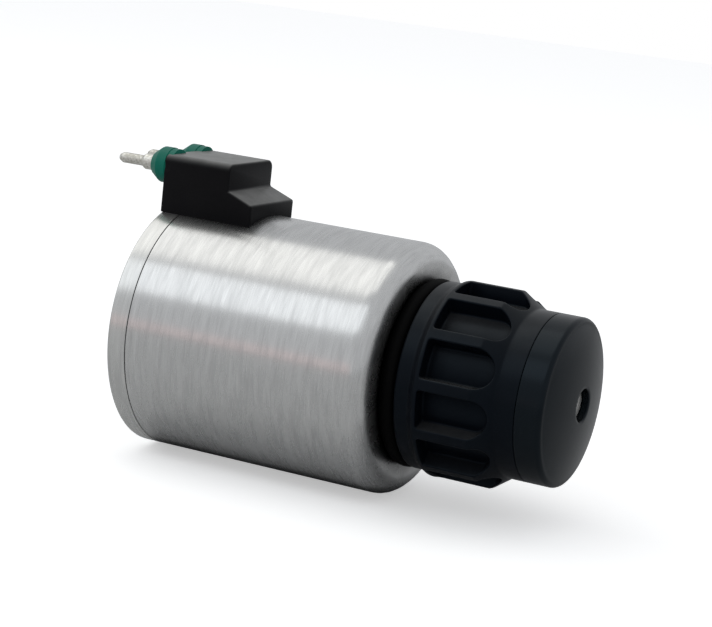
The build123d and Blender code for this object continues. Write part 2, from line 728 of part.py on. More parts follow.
# ---------------------------------------------------------------- the assembly
PARTS = {
    "coil_can": coil_can,
    "back_plate": back_plate,
    "bobbin": bobbin,
    "copper_winding": winding,
    "resin_potting": potting,
    "connector_housing": connector_housing,
    "terminal_pin_near": lambda: terminal_pin(-1),
    "terminal_pin_far": lambda: terminal_pin(1),
    "pin_seal_near": lambda: pin_seal(-1),
    "pin_seal_far": lambda: pin_seal(1),
    "lead_wire_near": lambda: lead_wire(-1),
    "lead_wire_far": lambda: lead_wire(1),
    "pole_piece": pole_piece,
    "spacer_ring": spacer_ring,
    "guide_tube": guide_tube,
    "pin_bush": pin_bush,
    "end_plug": end_plug,
    "armature": armature,
    "armature_shim": armature_shim,
    "push_pin": push_pin,
    "armature_spring": armature_spring,
    "override_button": override_button,
    "spring_seat": spring_seat,
    "override_spring": override_spring,
    "override_seal": override_seal,
    "nut_body": nut_body,
    "nut_insert": nut_insert,
    "nut_cap": nut_cap,
    "flange_seal": flange_seal,
    "front_tube_seal": front_tube_seal,
    "rear_face_seal": rear_face_seal,
}

os.makedirs("parts", exist_ok=True)
for name, make in PARTS.items():
    solid = make()
    solid.label = name
    export_step(solid, f"parts/{name}.step")
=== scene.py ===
"""Looks of a wet-armature valve solenoid: brushed steel can, ribbed coil nut and plug-in connector.

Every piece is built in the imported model's frame: X runs along the tube from the valve face to the
override button, and Z is up through the connector. The classes hold millimetres; Blender has metres.
"""

import json
import logging
import math
from collections.abc import Iterator
from contextlib import contextmanager
from dataclasses import dataclass
from enum import Enum

import bmesh
import bpy
import numpy as np
from bpy.types import Material, Mesh, Node, NodeSocket, NodeTree, Object
from mathutils import Matrix, Vector
from mathutils.geometry import delaunay_2d_cdt

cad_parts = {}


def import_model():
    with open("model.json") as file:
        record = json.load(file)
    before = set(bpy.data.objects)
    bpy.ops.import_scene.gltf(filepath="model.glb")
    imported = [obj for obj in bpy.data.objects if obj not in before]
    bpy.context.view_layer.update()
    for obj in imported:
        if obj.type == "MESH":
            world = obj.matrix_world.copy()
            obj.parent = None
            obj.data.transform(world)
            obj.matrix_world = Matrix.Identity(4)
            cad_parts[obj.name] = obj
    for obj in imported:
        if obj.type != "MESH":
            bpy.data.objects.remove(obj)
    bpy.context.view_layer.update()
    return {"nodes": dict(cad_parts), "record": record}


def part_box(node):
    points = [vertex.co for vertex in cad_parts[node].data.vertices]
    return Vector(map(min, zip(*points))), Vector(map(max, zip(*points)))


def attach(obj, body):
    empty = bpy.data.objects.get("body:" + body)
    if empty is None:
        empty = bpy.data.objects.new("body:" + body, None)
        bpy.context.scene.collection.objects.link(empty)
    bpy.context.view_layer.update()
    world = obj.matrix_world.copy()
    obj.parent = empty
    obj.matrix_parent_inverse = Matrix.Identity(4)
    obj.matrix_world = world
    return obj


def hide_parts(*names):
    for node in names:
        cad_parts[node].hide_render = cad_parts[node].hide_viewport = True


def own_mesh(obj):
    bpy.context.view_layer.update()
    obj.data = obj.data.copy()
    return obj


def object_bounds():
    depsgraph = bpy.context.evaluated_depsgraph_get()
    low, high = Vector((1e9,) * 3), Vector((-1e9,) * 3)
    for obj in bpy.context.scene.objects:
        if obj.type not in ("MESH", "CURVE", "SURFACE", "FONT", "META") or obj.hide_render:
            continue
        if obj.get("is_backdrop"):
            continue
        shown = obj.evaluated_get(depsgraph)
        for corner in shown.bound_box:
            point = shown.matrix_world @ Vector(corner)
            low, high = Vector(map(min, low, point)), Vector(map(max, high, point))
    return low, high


LOG = logging.getLogger("valve_solenoid")
MM = 0.001
AXIS = (0.0, 0.0)


# ---------------------------------------------------------------- frame helpers
@dataclass(frozen=True)
class Span:
    """A CAD node's box in millimetres."""

    low: Vector
    high: Vector

    @classmethod
    def of(cls, node: str) -> "Span":
        """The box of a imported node."""
        low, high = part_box(node)
        return cls(Vector(low) / MM, Vector(high) / MM)

    @property
    def radius(self) -> float:
        """Half the height of a piece turned about the X axis."""
        return (self.high.z - self.low.z) / 2

    @property
    def centre(self) -> Vector:
        """The middle of the box."""
        return (self.low + self.high) / 2


# ---------------------------------------------------------------- turned outlines
@dataclass(frozen=True)
class Corner:
    """A corner of a turned outline: place along X, distance from the axis and corner rounding."""

    x: float
    r: float
    rounding: float = 0.0


ARC_STEPS = 7
RING_SECTION_STEPS = 28
SEGMENTS = 160
GUARD = 0.12
AXIS_R = 1e-6


def rounded_corner(before: Corner, corner: Corner, after: Corner) -> list[tuple[float, float]]:
    """Points of one corner, on an arc where it is rounded.

    Args:
        before: the corner before it on the outline.
        corner: the corner itself.
        after: the corner after it.

    Returns:
        The arc's points, or the corner's own point.
    """
    here = Vector((corner.x, corner.r))
    if corner.rounding <= 0:
        return [tuple(here)]
    back = (Vector((before.x, before.r)) - here).normalized()
    ahead = (Vector((after.x, after.r)) - here).normalized()
    half = math.acos(max(-1.0, min(1.0, back.dot(ahead)))) / 2
    reach = corner.rounding / math.tan(half)
    middle = here + (back + ahead).normalized() * (corner.rounding / math.sin(half))
    start = here + back * reach - middle
    end = here + ahead * reach - middle
    turn = math.atan2(start.x * end.y - start.y * end.x, start.dot(end))
    points = []
    for step in range(ARC_STEPS + 1):
        angle = turn * step / ARC_STEPS
        cosine, sine = math.cos(angle), math.sin(angle)
        x, y = start.x * cosine - start.y * sine, start.x * sine + start.y * cosine
        points.append((middle.x + x, middle.y + y))
    return points


def outline_points(corners: list[Corner]) -> list[tuple[float, float]]:
    """A closed outline's points, with a guard point near both ends of each long straight.

    Args:
        corners: the outline's corners in order.

    Returns:
        Points as (x, r).
    """
    runs = [
        rounded_corner(corners[i - 1], corner, corners[(i + 1) % len(corners)])
        for i, corner in enumerate(corners)
    ]
    points = []
    for i, run in enumerate(runs):
        points += run
        start, end = Vector(run[-1]), Vector(runs[(i + 1) % len(runs)][0])
        length = (end - start).length
        if length > 6 * GUARD:
            step = (end - start) * (GUARD / length)
            points += [tuple(start + step), tuple(end - step)]
    return points


def ring_mesh(name: str, rows: list[np.ndarray]) -> Mesh:
    """A closed mesh from rings of points, joined row to row and the last to the first.

    Args:
        name: the mesh's name.
        rows: arrays of points, all of one length, or of length 1 at a pole.

    Returns:
        The mesh, in metres, with its faces outwards.
    """
    starts = np.cumsum([0] + [len(row) for row in rows])
    faces = []
    for i, row in enumerate(rows):
        after = (i + 1) % len(rows)
        if len(row) == 1 and len(rows[after]) == 1:
            continue
        count = max(len(row), len(rows[after]))
        for k in range(count):
            near = [starts[i] + k % len(row), starts[i] + (k + 1) % len(row)]
            far = [starts[after] + (k + 1) % len(rows[after]), starts[after] + k % len(rows[after])]
            faces.append(list(dict.fromkeys(near + far)))
    mesh = bpy.data.meshes.new(name)
    mesh.from_pydata((np.concatenate(rows) * MM).tolist(), [], faces)
    return outward(mesh)


@contextmanager
def editing(mesh: Mesh) -> Iterator[bmesh.types.BMesh]:
    """Opens a mesh for editing and writes it back afterwards."""
    work = bmesh.new()
    work.from_mesh(mesh)
    yield work
    work.to_mesh(mesh)
    work.free()
    mesh.update()


def outward(mesh: Mesh) -> Mesh:
    """Turns a closed mesh's faces outwards and returns it."""
    with editing(mesh) as work:
        if work.calc_volume(signed=True) < 0:
            bmesh.ops.reverse_faces(work, faces=work.faces)
    return mesh


def circle_row(x: float, radius: float, segments: int, centre: tuple[float, float]) -> np.ndarray:
    """A ring of points about an axis parallel to X.

    Args:
        x: the ring's place along X.
        radius: its radius.
        segments: how many points it has; a ring on the axis has one.
        centre: the axis's Y and Z.

    Returns:
        An array of points.
    """
    if radius < AXIS_R:
        return np.array([[x, centre[0], centre[1]]])
    angle = np.arange(segments) * (2 * math.pi / segments)
    return np.stack(
        [np.full(segments, x), centre[0] + radius * np.cos(angle), centre[1] + radius * np.sin(angle)], axis=1
    )


SMOOTH_BELOW = math.radians(32)


def add_piece(mesh: Mesh, name: str, material: Material) -> Object:
    """Makes a mesh an object with one material, smooth but for its real edges.

    Args:
        mesh: the finished mesh.
        name: the object's name.
        material: what it is made of.

    Returns:
        The object, linked to the scene.
    """
    mesh.shade_smooth()
    mesh.set_sharp_from_angle(angle=SMOOTH_BELOW)
    mesh.materials.clear()
    mesh.materials.append(material)
    piece = bpy.data.objects.new(name, mesh)
    bpy.context.scene.collection.objects.link(piece)
    return piece


def turned(
    name: str,
    corners: list[Corner],
    material: Material,
    segments: int = SEGMENTS,
    centre: tuple[float, float] = AXIS,
) -> Object:
    """A piece turned on a lathe about an axis parallel to X.

    Args:
        name: the piece's name.
        corners: the closed outline.
        material: what it is made of.
        segments: facets round the axis.
        centre: the axis's Y and Z.

    Returns:
        The object.
    """
    rows = [circle_row(x, r, segments, centre) for x, r in outline_points(corners)]
    return add_piece(ring_mesh(name, rows), name, material)


def o_ring(name: str, x: float, centre_r: float, section: float, material: Material) -> Object:
    """A round rubber ring about the X axis.

    Args:
        name: the piece's name.
        x: the middle of its section along X.
        centre_r: the distance of its section's middle from the axis.
        section: the section's diameter.
        material: what it is made of.

    Returns:
        The object.
    """
    rows = []
    for k in range(RING_SECTION_STEPS):
        angle = 2 * math.pi * k / RING_SECTION_STEPS
        x_here = x + section / 2 * math.cos(angle)
        rows.append(circle_row(x_here, centre_r + section / 2 * math.sin(angle), SEGMENTS, AXIS))
    return add_piece(ring_mesh(name, rows), name, material)


def stand_for(piece: Object, node: str, body: str) -> Object:
    """Makes a piece take a CAD node's place.

    Args:
        piece: the finished piece.
        node: the CAD node that it stands for.
        body: the body that it moves with.

    Returns:
        The piece.
    """
    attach(piece, body)
    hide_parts(node)
    LOG.info("%s stands for %s on %s, %d faces", piece.name, node, body, len(piece.data.polygons))
    return piece


# ---------------------------------------------------------------- node trees
class Wiring:
    """Short ways to add and join the nodes of one tree."""

    def __init__(self, tree: NodeTree) -> None:
        """Works on a tree."""
        self.tree = tree

    def add(self, kind: str, *inputs: object, **values: object) -> Node:
        """Adds a node.

        Args:
            kind: the node's type name.
            *inputs: values or sockets for its inputs in order, with None to leave one alone.
            **values: its attributes, or values or sockets for its inputs by name, with _ for a space.

        Returns:
            The node.
        """
        node = self.tree.nodes.new(kind)
        node.location = (180 * len(self.tree.nodes), 0)
        for key, value in values.items():
            if hasattr(node, key):
                setattr(node, key, value)
            else:
                self.feed(node.inputs[key.replace("_", " ")], value)
        for socket, value in zip(node.inputs, inputs):
            if value is not None:
                self.feed(socket, value)
        return node

    def join(self, source: NodeSocket, target: NodeSocket) -> None:
        """Links an output to an input."""
        self.tree.links.new(source, target)

    def feed(self, socket: NodeSocket, value: object) -> None:
        """Links a socket to an input, or sets the input's value."""
        if isinstance(value, NodeSocket):
            self.join(value, socket)
        else:
            socket.default_value = value

    def math(self, operation: str, first: object, second: object = 0.0, clamp: bool = False) -> NodeSocket:
        """A Math node's result, kept between 0 and 1 if clamped."""
        return self.add("ShaderNodeMath", first, second, operation=operation, use_clamp=clamp).outputs[0]

    def mix(self, factor: object, first: object, second: object) -> NodeSocket:
        """A colour between two colours: the first at factor 0, the second at 1."""
        node = self.add("ShaderNodeMix", factor, data_type="RGBA")
        self.feed(node.inputs[6], first)
        self.feed(node.inputs[7], second)
        return node.outputs[2]

    def spread(self, value: object, low: float, high: float) -> NodeSocket:
        """Maps 0 to 1 onto low to high."""
        return self.add("ShaderNodeMapRange", value, To_Min=low, To_Max=high).outputs[0]

    def noise(self, vector: NodeSocket, scale: object, detail: float, roughness: float = 0.5) -> NodeSocket:
        """A noise texture's value.

        Args:
            vector: where it is read.
            scale: waves per metre.
            detail: octaves.
            roughness: how strong the finer octaves are.

        Returns:
            The output socket.
        """
        node = self.add("ShaderNodeTexNoise", Vector=vector, Scale=scale, Detail=detail, Roughness=roughness)
        return node.outputs[0]


@dataclass(frozen=True)
class Port:
    """A named socket of a node group."""

    name: str
    kind: str = "NodeSocketFloat"
    value: float | None = None
    output: bool = False


PLACE = Port("Vector", "NodeSocketVector")
SHAPE_IN = Port("Geometry", "NodeSocketGeometry")
SHAPE_OUT = Port("Geometry", "NodeSocketGeometry", output=True)


def new_group(name: str, kind: str, *ports: Port) -> tuple[Wiring, object, object]:
    """Starts a node group with named sockets.

    Args:
        name: the group's name.
        kind: ShaderNodeTree or GeometryNodeTree.
        *ports: its inputs and outputs in order.

    Returns:
        The wiring, the sockets that the group is given, and those that it gives back.
    """
    tree = bpy.data.node_groups.new(name, kind)
    for port in ports:
        side = "OUTPUT" if port.output else "INPUT"
        socket = tree.interface.new_socket(name=port.name, in_out=side, socket_type=port.kind)
        if port.value is not None:
            socket.default_value = port.value
    wiring = Wiring(tree)
    return wiring, wiring.add("NodeGroupInput").outputs, wiring.add("NodeGroupOutput").inputs


class Effects:
    """The shader node groups that several finishes share, each built once."""

    def __init__(self) -> None:
        """Builds the groups."""
        self.brush_lines = self.build_brush_lines()
        self.edge_wear = self.build_edge_wear()
        self.grain = self.build_grain()
        self.dust_and_sheen = self.build_dust_and_sheen()
        self.recess = self.build_recess()

    @staticmethod
    def build_brush_lines() -> NodeTree:
        """Fine lines that run round the X axis, with broader ones among them."""
        w, given, result = new_group(
            "brush_lines", "ShaderNodeTree", PLACE, Port("Lines per metre", value=2600.0),
            Port("Runs per metre", value=45.0), Port("Lines", output=True), Port("Bands", output=True),
        )
        runs = given["Runs per metre"]
        stretch = w.add("ShaderNodeCombineXYZ", given["Lines per metre"], runs, runs).outputs[0]
        fine = w.add("ShaderNodeVectorMath", given["Vector"], stretch, operation="MULTIPLY").outputs[0]
        broad = w.add("ShaderNodeVectorMath", fine, (0.22, 0.7, 0.7), operation="MULTIPLY").outputs[0]
        w.join(w.noise(fine, 1.0, 4.0, 0.62), result["Lines"])
        w.join(w.noise(broad, 1.0, 2.0, 0.5), result["Bands"])
        return w.tree

    @staticmethod
    def build_edge_wear() -> NodeTree:
        """A mask along outer edges, broken up by noise."""
        w, given, result = new_group(
            "edge_wear", "ShaderNodeTree", PLACE, Port("Width", value=0.0004), Port("Amount", value=1.0),
            Port("Breakup per metre", value=900.0), Port("Mask", output=True),
        )
        bevel = w.add("ShaderNodeBevel", given["Width"], samples=4).outputs[0]
        true_normal = w.add("ShaderNodeNewGeometry").outputs["Normal"]
        dot = w.add("ShaderNodeVectorMath", bevel, true_normal, operation="DOT_PRODUCT").outputs["Value"]
        edge = w.math("MULTIPLY", w.math("SUBTRACT", 1.0, dot, clamp=True), 6.0, clamp=True)
        patches = w.noise(given["Vector"], given["Breakup per metre"], 3.0, 0.6)
        broken = w.math("MULTIPLY", w.math("SUBTRACT", patches, 0.35), 3.0, clamp=True)
        worn = w.math("MULTIPLY", edge, broken)
        w.join(w.math("MULTIPLY", worn, given["Amount"], clamp=True), result["Mask"])
        return w.tree

    @staticmethod
    def build_grain() -> NodeTree:
        """Fine grain of a moulded surface, with slow cloudy variation."""
        w, given, result = new_group(
            "moulded_grain", "ShaderNodeTree", PLACE, Port("Grains per metre", value=5000.0),
            Port("Clouds per metre", value=160.0), Port("Grain", output=True), Port("Clouds", output=True),
        )
        w.join(w.noise(given["Vector"], given["Grains per metre"], 2.0), result["Grain"])
        w.join(w.noise(given["Vector"], given["Clouds per metre"], 4.0, 0.6), result["Clouds"])
        return w.tree

    @staticmethod
    def build_dust_and_sheen() -> NodeTree:
        """A thin patchy mask on surfaces that face up, for settled dust and for a painted sheen where the
        overhead light falls on tops.
        """
        w, given, result = new_group(
            "settled_dust_and_top_sheen", "ShaderNodeTree", PLACE, Port("Amount", value=0.2), Port("Mask", output=True)
        )
        normal = w.add("ShaderNodeNewGeometry").outputs["Normal"]
        upward = w.add("ShaderNodeSeparateXYZ", normal).outputs[2]
        patches = w.spread(w.noise(given["Vector"], 380.0, 5.0, 0.65), 0.30, 0.75)
        level = w.math("POWER", w.math("MAXIMUM", upward, 0.0), 3.0)
        settled = w.math("MULTIPLY", level, patches, clamp=True)
        w.join(w.math("MULTIPLY", settled, given["Amount"], clamp=True), result["Mask"])
        return w.tree

    @staticmethod
    def build_recess() -> NodeTree:
        """How open a place is: 1 on free surfaces, towards 0 in pockets and gaps, where the finishes paint
        shade with it.
        """
        w, given, result = new_group(
            "recess", "ShaderNodeTree", PLACE, Port("Reach", value=0.004), Port("Open", output=True)
        )
        shade = w.add("ShaderNodeAmbientOcclusion", samples=8, Distance=given["Reach"]).outputs["AO"]
        uneven = w.spread(w.noise(given["Vector"], 300.0, 2.0), 0.9, 1.1)
        w.join(w.math("POWER", w.math("MULTIPLY", shade, uneven, clamp=True), 2.0), result["Open"])
        return w.tree


# ---------------------------------------------------------------- finishes
Colour = tuple[float, float, float, float]
COOL: Colour = (0.66, 0.84, 1.0, 1.0)
BARE_METAL: Colour = (0.86, 0.86, 0.85, 1.0)
# Painted shade: the near-black colour that metal is darkened to in recesses and gaps.
RECESS_SHADE_COLOUR: Colour = (0.004, 0.004, 0.005, 1.0)
# Settled dust, and painted sheen on tops where the overhead light falls.
DUST_AND_SHEEN: Colour = (0.34, 0.34, 0.33, 1.0)


class Lay(Enum):
    """Which way a metal's tool marks run."""

    ROUND_AXIS = "lines round the X axis"
    NONE = "no lines"


@dataclass(frozen=True)
class Metal:
    """A worked metal surface."""

    name: str
    colour: Colour
    dark: Colour
    roughness: float
    anisotropy: float = 0.0
    lay: Lay = Lay.NONE
    lines_per_metre: float = 2600.0
    runs_per_metre: float = 45.0
    line_depth: float = 0.000004
    tone_contrast: float = 0.5
    rough_contrast: float = 0.1
    grain_depth: float = 0.0
    grains_per_metre: float = 5000.0
    wear: float = 0.0
    # Painted shade: how far the base colour darkens in recesses and gaps, from the ambient occlusion mask.
    recess_shade: float = 0.0

    def material(self, effects: Effects) -> Material:
        """Builds the material from the shared node groups."""
        material, w, shader, place = start_material(self.name)
        shader.inputs["Metallic"].default_value = 1.0
        shader.inputs["Anisotropic"].default_value = self.anisotropy
        if self.anisotropy:
            tangent = w.add("ShaderNodeTangent", direction_type="RADIAL", axis="X")
            w.join(tangent.outputs[0], shader.inputs["Tangent"])
            shader.inputs["Anisotropic Rotation"].default_value = 0.25
        if self.lay is Lay.NONE:
            height, slow = use_group(w, effects.grain, place, Grains_per_metre=self.grains_per_metre)
            depth = self.grain_depth
        else:
            spacing = {"Lines_per_metre": self.lines_per_metre, "Runs_per_metre": self.runs_per_metre}
            height, slow = use_group(w, effects.brush_lines, place, **spacing)
            depth = self.line_depth
        tone = w.math("MULTIPLY", w.math("ADD", height, slow), 0.5)
        tone = w.math("ADD", w.math("MULTIPLY", w.math("SUBTRACT", tone, 0.5), 2.4), 0.5, clamp=True)
        shade = w.spread(tone, 0.5 - self.tone_contrast, 0.5 + self.tone_contrast)
        base = w.mix(shade, self.dark, self.colour)
        if self.wear:
            (worn,) = use_group(w, effects.edge_wear, place, Amount=self.wear)
            base = w.mix(worn, base, BARE_METAL)
        # Painted shade: the base colour darkens towards near-black where the ambient occlusion mask finds
        # recesses and gaps, such as the plate seam and the gap at the nut.
        if self.recess_shade:
            (clear,) = use_group(w, effects.recess, place)
            unshaded = w.spread(w.math("MULTIPLY", clear, 1.3, clamp=True), 1.0 - self.recess_shade, 1.0)
            base = w.mix(unshaded, RECESS_SHADE_COLOUR, base)
        w.join(base, shader.inputs["Base Color"])
        half = self.rough_contrast / 2
        w.join(w.spread(tone, self.roughness + half, self.roughness - half), shader.inputs["Roughness"])
        add_bump(w, shader, height, depth)
        return material


@dataclass(frozen=True)
class Moulding:
    """A moulded plastic or rubber surface."""

    name: str
    colour: Colour
    light: Colour
    roughness: float
    rough_contrast: float = 0.12
    grain_depth: float = 0.000012
    grains_per_metre: float = 5000.0
    specular: float = 0.5
    # Painted shade: the share of specular left in recesses and gaps, which darkens reflections there.
    recess_shade_gloss: float = 0.25
    tint: Colour = (1.0, 1.0, 1.0, 1.0)
    # Strength of settled dust and of the painted sheen on surfaces that face up.
    dust_and_sheen: float = 0.12
    wear: float = 0.15

    def material(self, effects: Effects) -> Material:
        """Builds the material from the shared node groups."""
        material, w, shader, place = start_material(self.name)
        # Painted shade: specular drops in recesses and gaps, following the ambient occlusion mask.
        (clear,) = use_group(w, effects.recess, place)
        gloss = w.spread(clear, self.specular * self.recess_shade_gloss, self.specular)
        w.join(gloss, shader.inputs["Specular IOR Level"])
        shader.inputs["Specular Tint"].default_value = self.tint
        grain, clouds = use_group(w, effects.grain, place, Grains_per_metre=self.grains_per_metre)
        (worn,) = use_group(w, effects.edge_wear, place, Amount=self.wear)
        # Settled dust and painted sheen: surfaces that face up turn lighter grey.
        (dusty_or_sheened,) = use_group(w, effects.dust_and_sheen, place, Amount=self.dust_and_sheen)
        base = w.mix(clouds, self.colour, self.light)
        base = w.mix(worn, base, tuple(min(1.0, c * 3 + 0.03) for c in self.light[:3]) + (1.0,))
        base = w.mix(dusty_or_sheened, base, DUST_AND_SHEEN)
        w.join(base, shader.inputs["Base Color"])
        half = self.rough_contrast / 2
        w.join(w.spread(clouds, self.roughness - half, self.roughness + half), shader.inputs["Roughness"])
        add_bump(w, shader, grain, self.grain_depth)
        return material


def start_material(name: str) -> tuple[Material, Wiring, Node, NodeSocket]:
    """Starts a material with a Principled shader.

    Args:
        name: the material's name.

    Returns:
        The material, its wiring, the shader node and the Object coordinates.
    """
    material = bpy.data.materials.new(name)
    material.use_nodes = True
    material.node_tree.nodes.clear()
    w = Wiring(material.node_tree)
    output = w.add("ShaderNodeOutputMaterial")
    shader = w.add("ShaderNodeBsdfPrincipled")
    w.join(shader.outputs[0], output.inputs["Surface"])
    return material, w, shader, w.add("ShaderNodeTexCoord").outputs["Object"]


def use_group(w: Wiring, tree: NodeTree, place: NodeSocket, **values: object) -> list[NodeSocket]:
    """Puts a shared node group into a material.

    Args:
        w: the material's wiring.
        tree: the group.
        place: the coordinates that it reads.
        **values: its other inputs, by name with _ for a space.

    Returns:
        The group's outputs.
    """
    return list(w.add("ShaderNodeGroup", node_tree=tree, Vector=place, **values).outputs)


def add_bump(w: Wiring, shader: Node, height: NodeSocket, depth: float) -> None:
    """Feeds a height map from 0 to 1, which stands for depth in metres, to a shader's normal."""
    if depth > 0:
        bump = w.add("ShaderNodeBump", Strength=1.0, Distance=depth, Height=height)
        w.join(bump.outputs[0], shader.inputs["Normal"])


class Finishes:
    """Every material of the solenoid."""

    RECIPES = (
        # brushed_can: painted shade in its recesses and gaps at full strength.
        Metal("brushed_can", (0.83, 0.83, 0.82, 1), (0.63, 0.63, 0.625, 1), 0.27, 0.8, Lay.ROUND_AXIS,
              lines_per_metre=4200.0, runs_per_metre=240.0, rough_contrast=0.09, line_depth=0.000003,
              recess_shade=1.0),
        Metal("brushed_plate", (0.84, 0.84, 0.82, 1), (0.64, 0.64, 0.63, 1), 0.28, 0.7, Lay.ROUND_AXIS,
              lines_per_metre=4200.0, runs_per_metre=160.0, line_depth=0.000004),
        Metal("plated_steel", (0.62, 0.63, 0.65, 1), (0.50, 0.50, 0.50, 1), 0.28, 0.4, Lay.ROUND_AXIS,
              lines_per_metre=5200.0, runs_per_metre=20.0, wear=0.4),
        Metal("tube_steel", (0.56, 0.57, 0.59, 1), (0.44, 0.44, 0.45, 1), 0.3, 0.4, Lay.ROUND_AXIS),
        Metal("tinned_pin", (0.96, 0.95, 0.90, 1), (0.58, 0.56, 0.50, 1), 0.42, grain_depth=0.00008,
              grains_per_metre=2200.0, tone_contrast=0.9, rough_contrast=0.22),
        Metal("button_steel", (0.92, 0.91, 0.89, 1), (0.78, 0.77, 0.74, 1), 0.38, wear=0.3),
        Metal("ground_pin", (0.76, 0.76, 0.77, 1), (0.66, 0.66, 0.66, 1), 0.16, 0.4, Lay.ROUND_AXIS,
              lines_per_metre=8000.0),
        Metal("spring_steel", (0.50, 0.50, 0.52, 1), (0.38, 0.38, 0.39, 1), 0.32, grain_depth=0.00001),
        Metal("armature_iron", (0.36, 0.36, 0.37, 1), (0.26, 0.26, 0.27, 1), 0.36, 0.4, Lay.ROUND_AXIS),
        Metal("braze_bronze", (0.60, 0.42, 0.22, 1), (0.44, 0.29, 0.14, 1), 0.34, 0.3, Lay.ROUND_AXIS),
        Metal("bush_bronze", (0.56, 0.37, 0.18, 1), (0.40, 0.25, 0.12, 1), 0.42, grain_depth=0.00002),
        Metal("shim_brass", (0.70, 0.54, 0.25, 1), (0.56, 0.42, 0.18, 1), 0.26, grain_depth=0.000006),
        Metal("insert_brass", (0.68, 0.52, 0.25, 1), (0.52, 0.38, 0.17, 1), 0.28, 0.4, Lay.ROUND_AXIS,
              wear=0.3),
        Metal("enamelled_copper", (0.62, 0.22, 0.09, 1), (0.40, 0.12, 0.05, 1), 0.26, 0.3, Lay.ROUND_AXIS,
              lines_per_metre=1700.0, runs_per_metre=2.0, line_depth=0.00004),
        # connector_plastic: its top is lightened strongly, as dust and as painted sheen of the overhead
        # light.
        Moulding("connector_plastic", (0.0016, 0.0016, 0.0024, 1), (0.004, 0.004, 0.005, 1), 0.34,
                 specular=0.12, dust_and_sheen=1.3, grain_depth=0.00002, grains_per_metre=3500.0),
        # grip_plastic: pockets kept almost without reflection, as painted shade.
        Moulding("grip_plastic", (0.0015, 0.0023, 0.0040, 1), (0.003, 0.0045, 0.0075, 1), 0.30, specular=0.14,
                 recess_shade_gloss=0.06, tint=COOL, dust_and_sheen=0.16, grain_depth=0.000008),
        Moulding("cap_plastic", (0.002, 0.003, 0.004, 1), (0.004, 0.006, 0.008, 1), 0.24,
                 grain_depth=0.000003, rough_contrast=0.08, specular=0.22, tint=COOL, dust_and_sheen=0.05),
        Moulding("potting_resin", (0.020, 0.020, 0.020, 1), (0.035, 0.034, 0.033, 1), 0.4),
        Moulding("bobbin_nylon", (0.50, 0.47, 0.38, 1), (0.62, 0.59, 0.50, 1), 0.45),
        Moulding("green_rubber", (0.001, 0.135, 0.092, 1), (0.003, 0.200, 0.140, 1), 0.36, specular=0.20,
                 grain_depth=0.000006, dust_and_sheen=0.10, wear=0.05),
        Moulding("black_rubber", (0.0008, 0.0008, 0.0009, 1), (0.002, 0.002, 0.002, 1), 0.6, specular=0.06,
                 dust_and_sheen=0.0, wear=0.0),
    )

    def __init__(self) -> None:
        """Builds the shared groups and every material."""
        effects = Effects()
        self.by_slot = {recipe.name: recipe.material(effects) for recipe in self.RECIPES}

    def __getitem__(self, slot: str) -> Material:
        """The material of a slot."""
        return self.by_slot[slot]

    def dress(self, nodes: dict[str, Object], subparts: list[dict[str, str]]) -> None:
        """Gives each CAD node the material of its slot.

        Args:
            nodes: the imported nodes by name.
            subparts: the record's list of nodes and slots.
        """
        for entry in subparts:
            mesh = nodes[entry["node"]].data
            mesh.materials.clear()
            mesh.materials.append(self[entry["material_slot"]])


# ---------------------------------------------------------------- geometry node trees
WELD = 0.000002


def run_tree(
    mesh: Mesh, tree: NodeTree, values: dict[str, object], name: str
) -> Mesh:
    """Runs a Geometry Nodes tree on a mesh and returns the result as a plain mesh.

    Args:
        mesh: what the tree starts from.
        tree: the tree.
        values: its named inputs.
        name: the new mesh's name.

    Returns:
        The mesh, with its faces outwards.
    """
    work = bpy.data.objects.new(name + "_work", mesh)
    bpy.context.scene.collection.objects.link(work)
    modifier = work.modifiers.new("build", "NODES")
    modifier.node_group = tree
    for item in tree.interface.items_tree:
        if item.item_type == "SOCKET" and item.in_out == "INPUT" and item.name in values:
            modifier[item.identifier] = values[item.name]
    view_layer = bpy.context.evaluated_depsgraph_get()
    result = bpy.data.meshes.new_from_object(work.evaluated_get(view_layer))
    result.name = name
    work.modifiers.remove(modifier)
    bpy.data.objects.remove(work)
    return outward(result)


def spring_tree(material: Material) -> NodeTree:
    """A round-wire spring along X in the given material, built from a spiral curve."""
    w, given, result = new_group(
        "round_wire_spring", "GeometryNodeTree", SHAPE_IN, Port("Start", value=0.0),
        Port("Length", value=0.01), Port("Mean radius", value=0.003), Port("Wire radius", value=0.00035),
        Port("Turns", value=7.0), SHAPE_OUT,
    )
    spiral = w.add(
        "GeometryNodeCurveSpiral", Resolution=40, Rotations=given["Turns"], Start_Radius=given["Mean radius"],
        End_Radius=given["Mean radius"], Height=given["Length"],
    )
    wire = w.add("GeometryNodeCurvePrimitiveCircle", Resolution=14, Radius=given["Wire radius"])
    skin = w.add(
        "GeometryNodeCurveToMesh", Curve=spiral.outputs[0], Profile_Curve=wire.outputs[0], Fill_Caps=True
    )
    shift = w.add("ShaderNodeCombineXYZ", given["Start"]).outputs[0]
    along_x = (0.0, math.pi / 2, 0.0)
    laid = w.add("GeometryNodeTransform", Geometry=skin.outputs[0], Translation=shift, Rotation=along_x)
    finish_tree(w, laid.outputs[0], result[0], material)
    return w.tree


def finish_tree(w: Wiring, shape: NodeSocket, result: NodeSocket, material: Material) -> None:
    """Ends a tree: realizes a shape's instances, sets its material and hands it to the result."""
    real = w.add("GeometryNodeRealizeInstances", Geometry=shape).outputs[0]
    w.join(w.add("GeometryNodeSetMaterial", Geometry=real, Material=material).outputs[0], result)


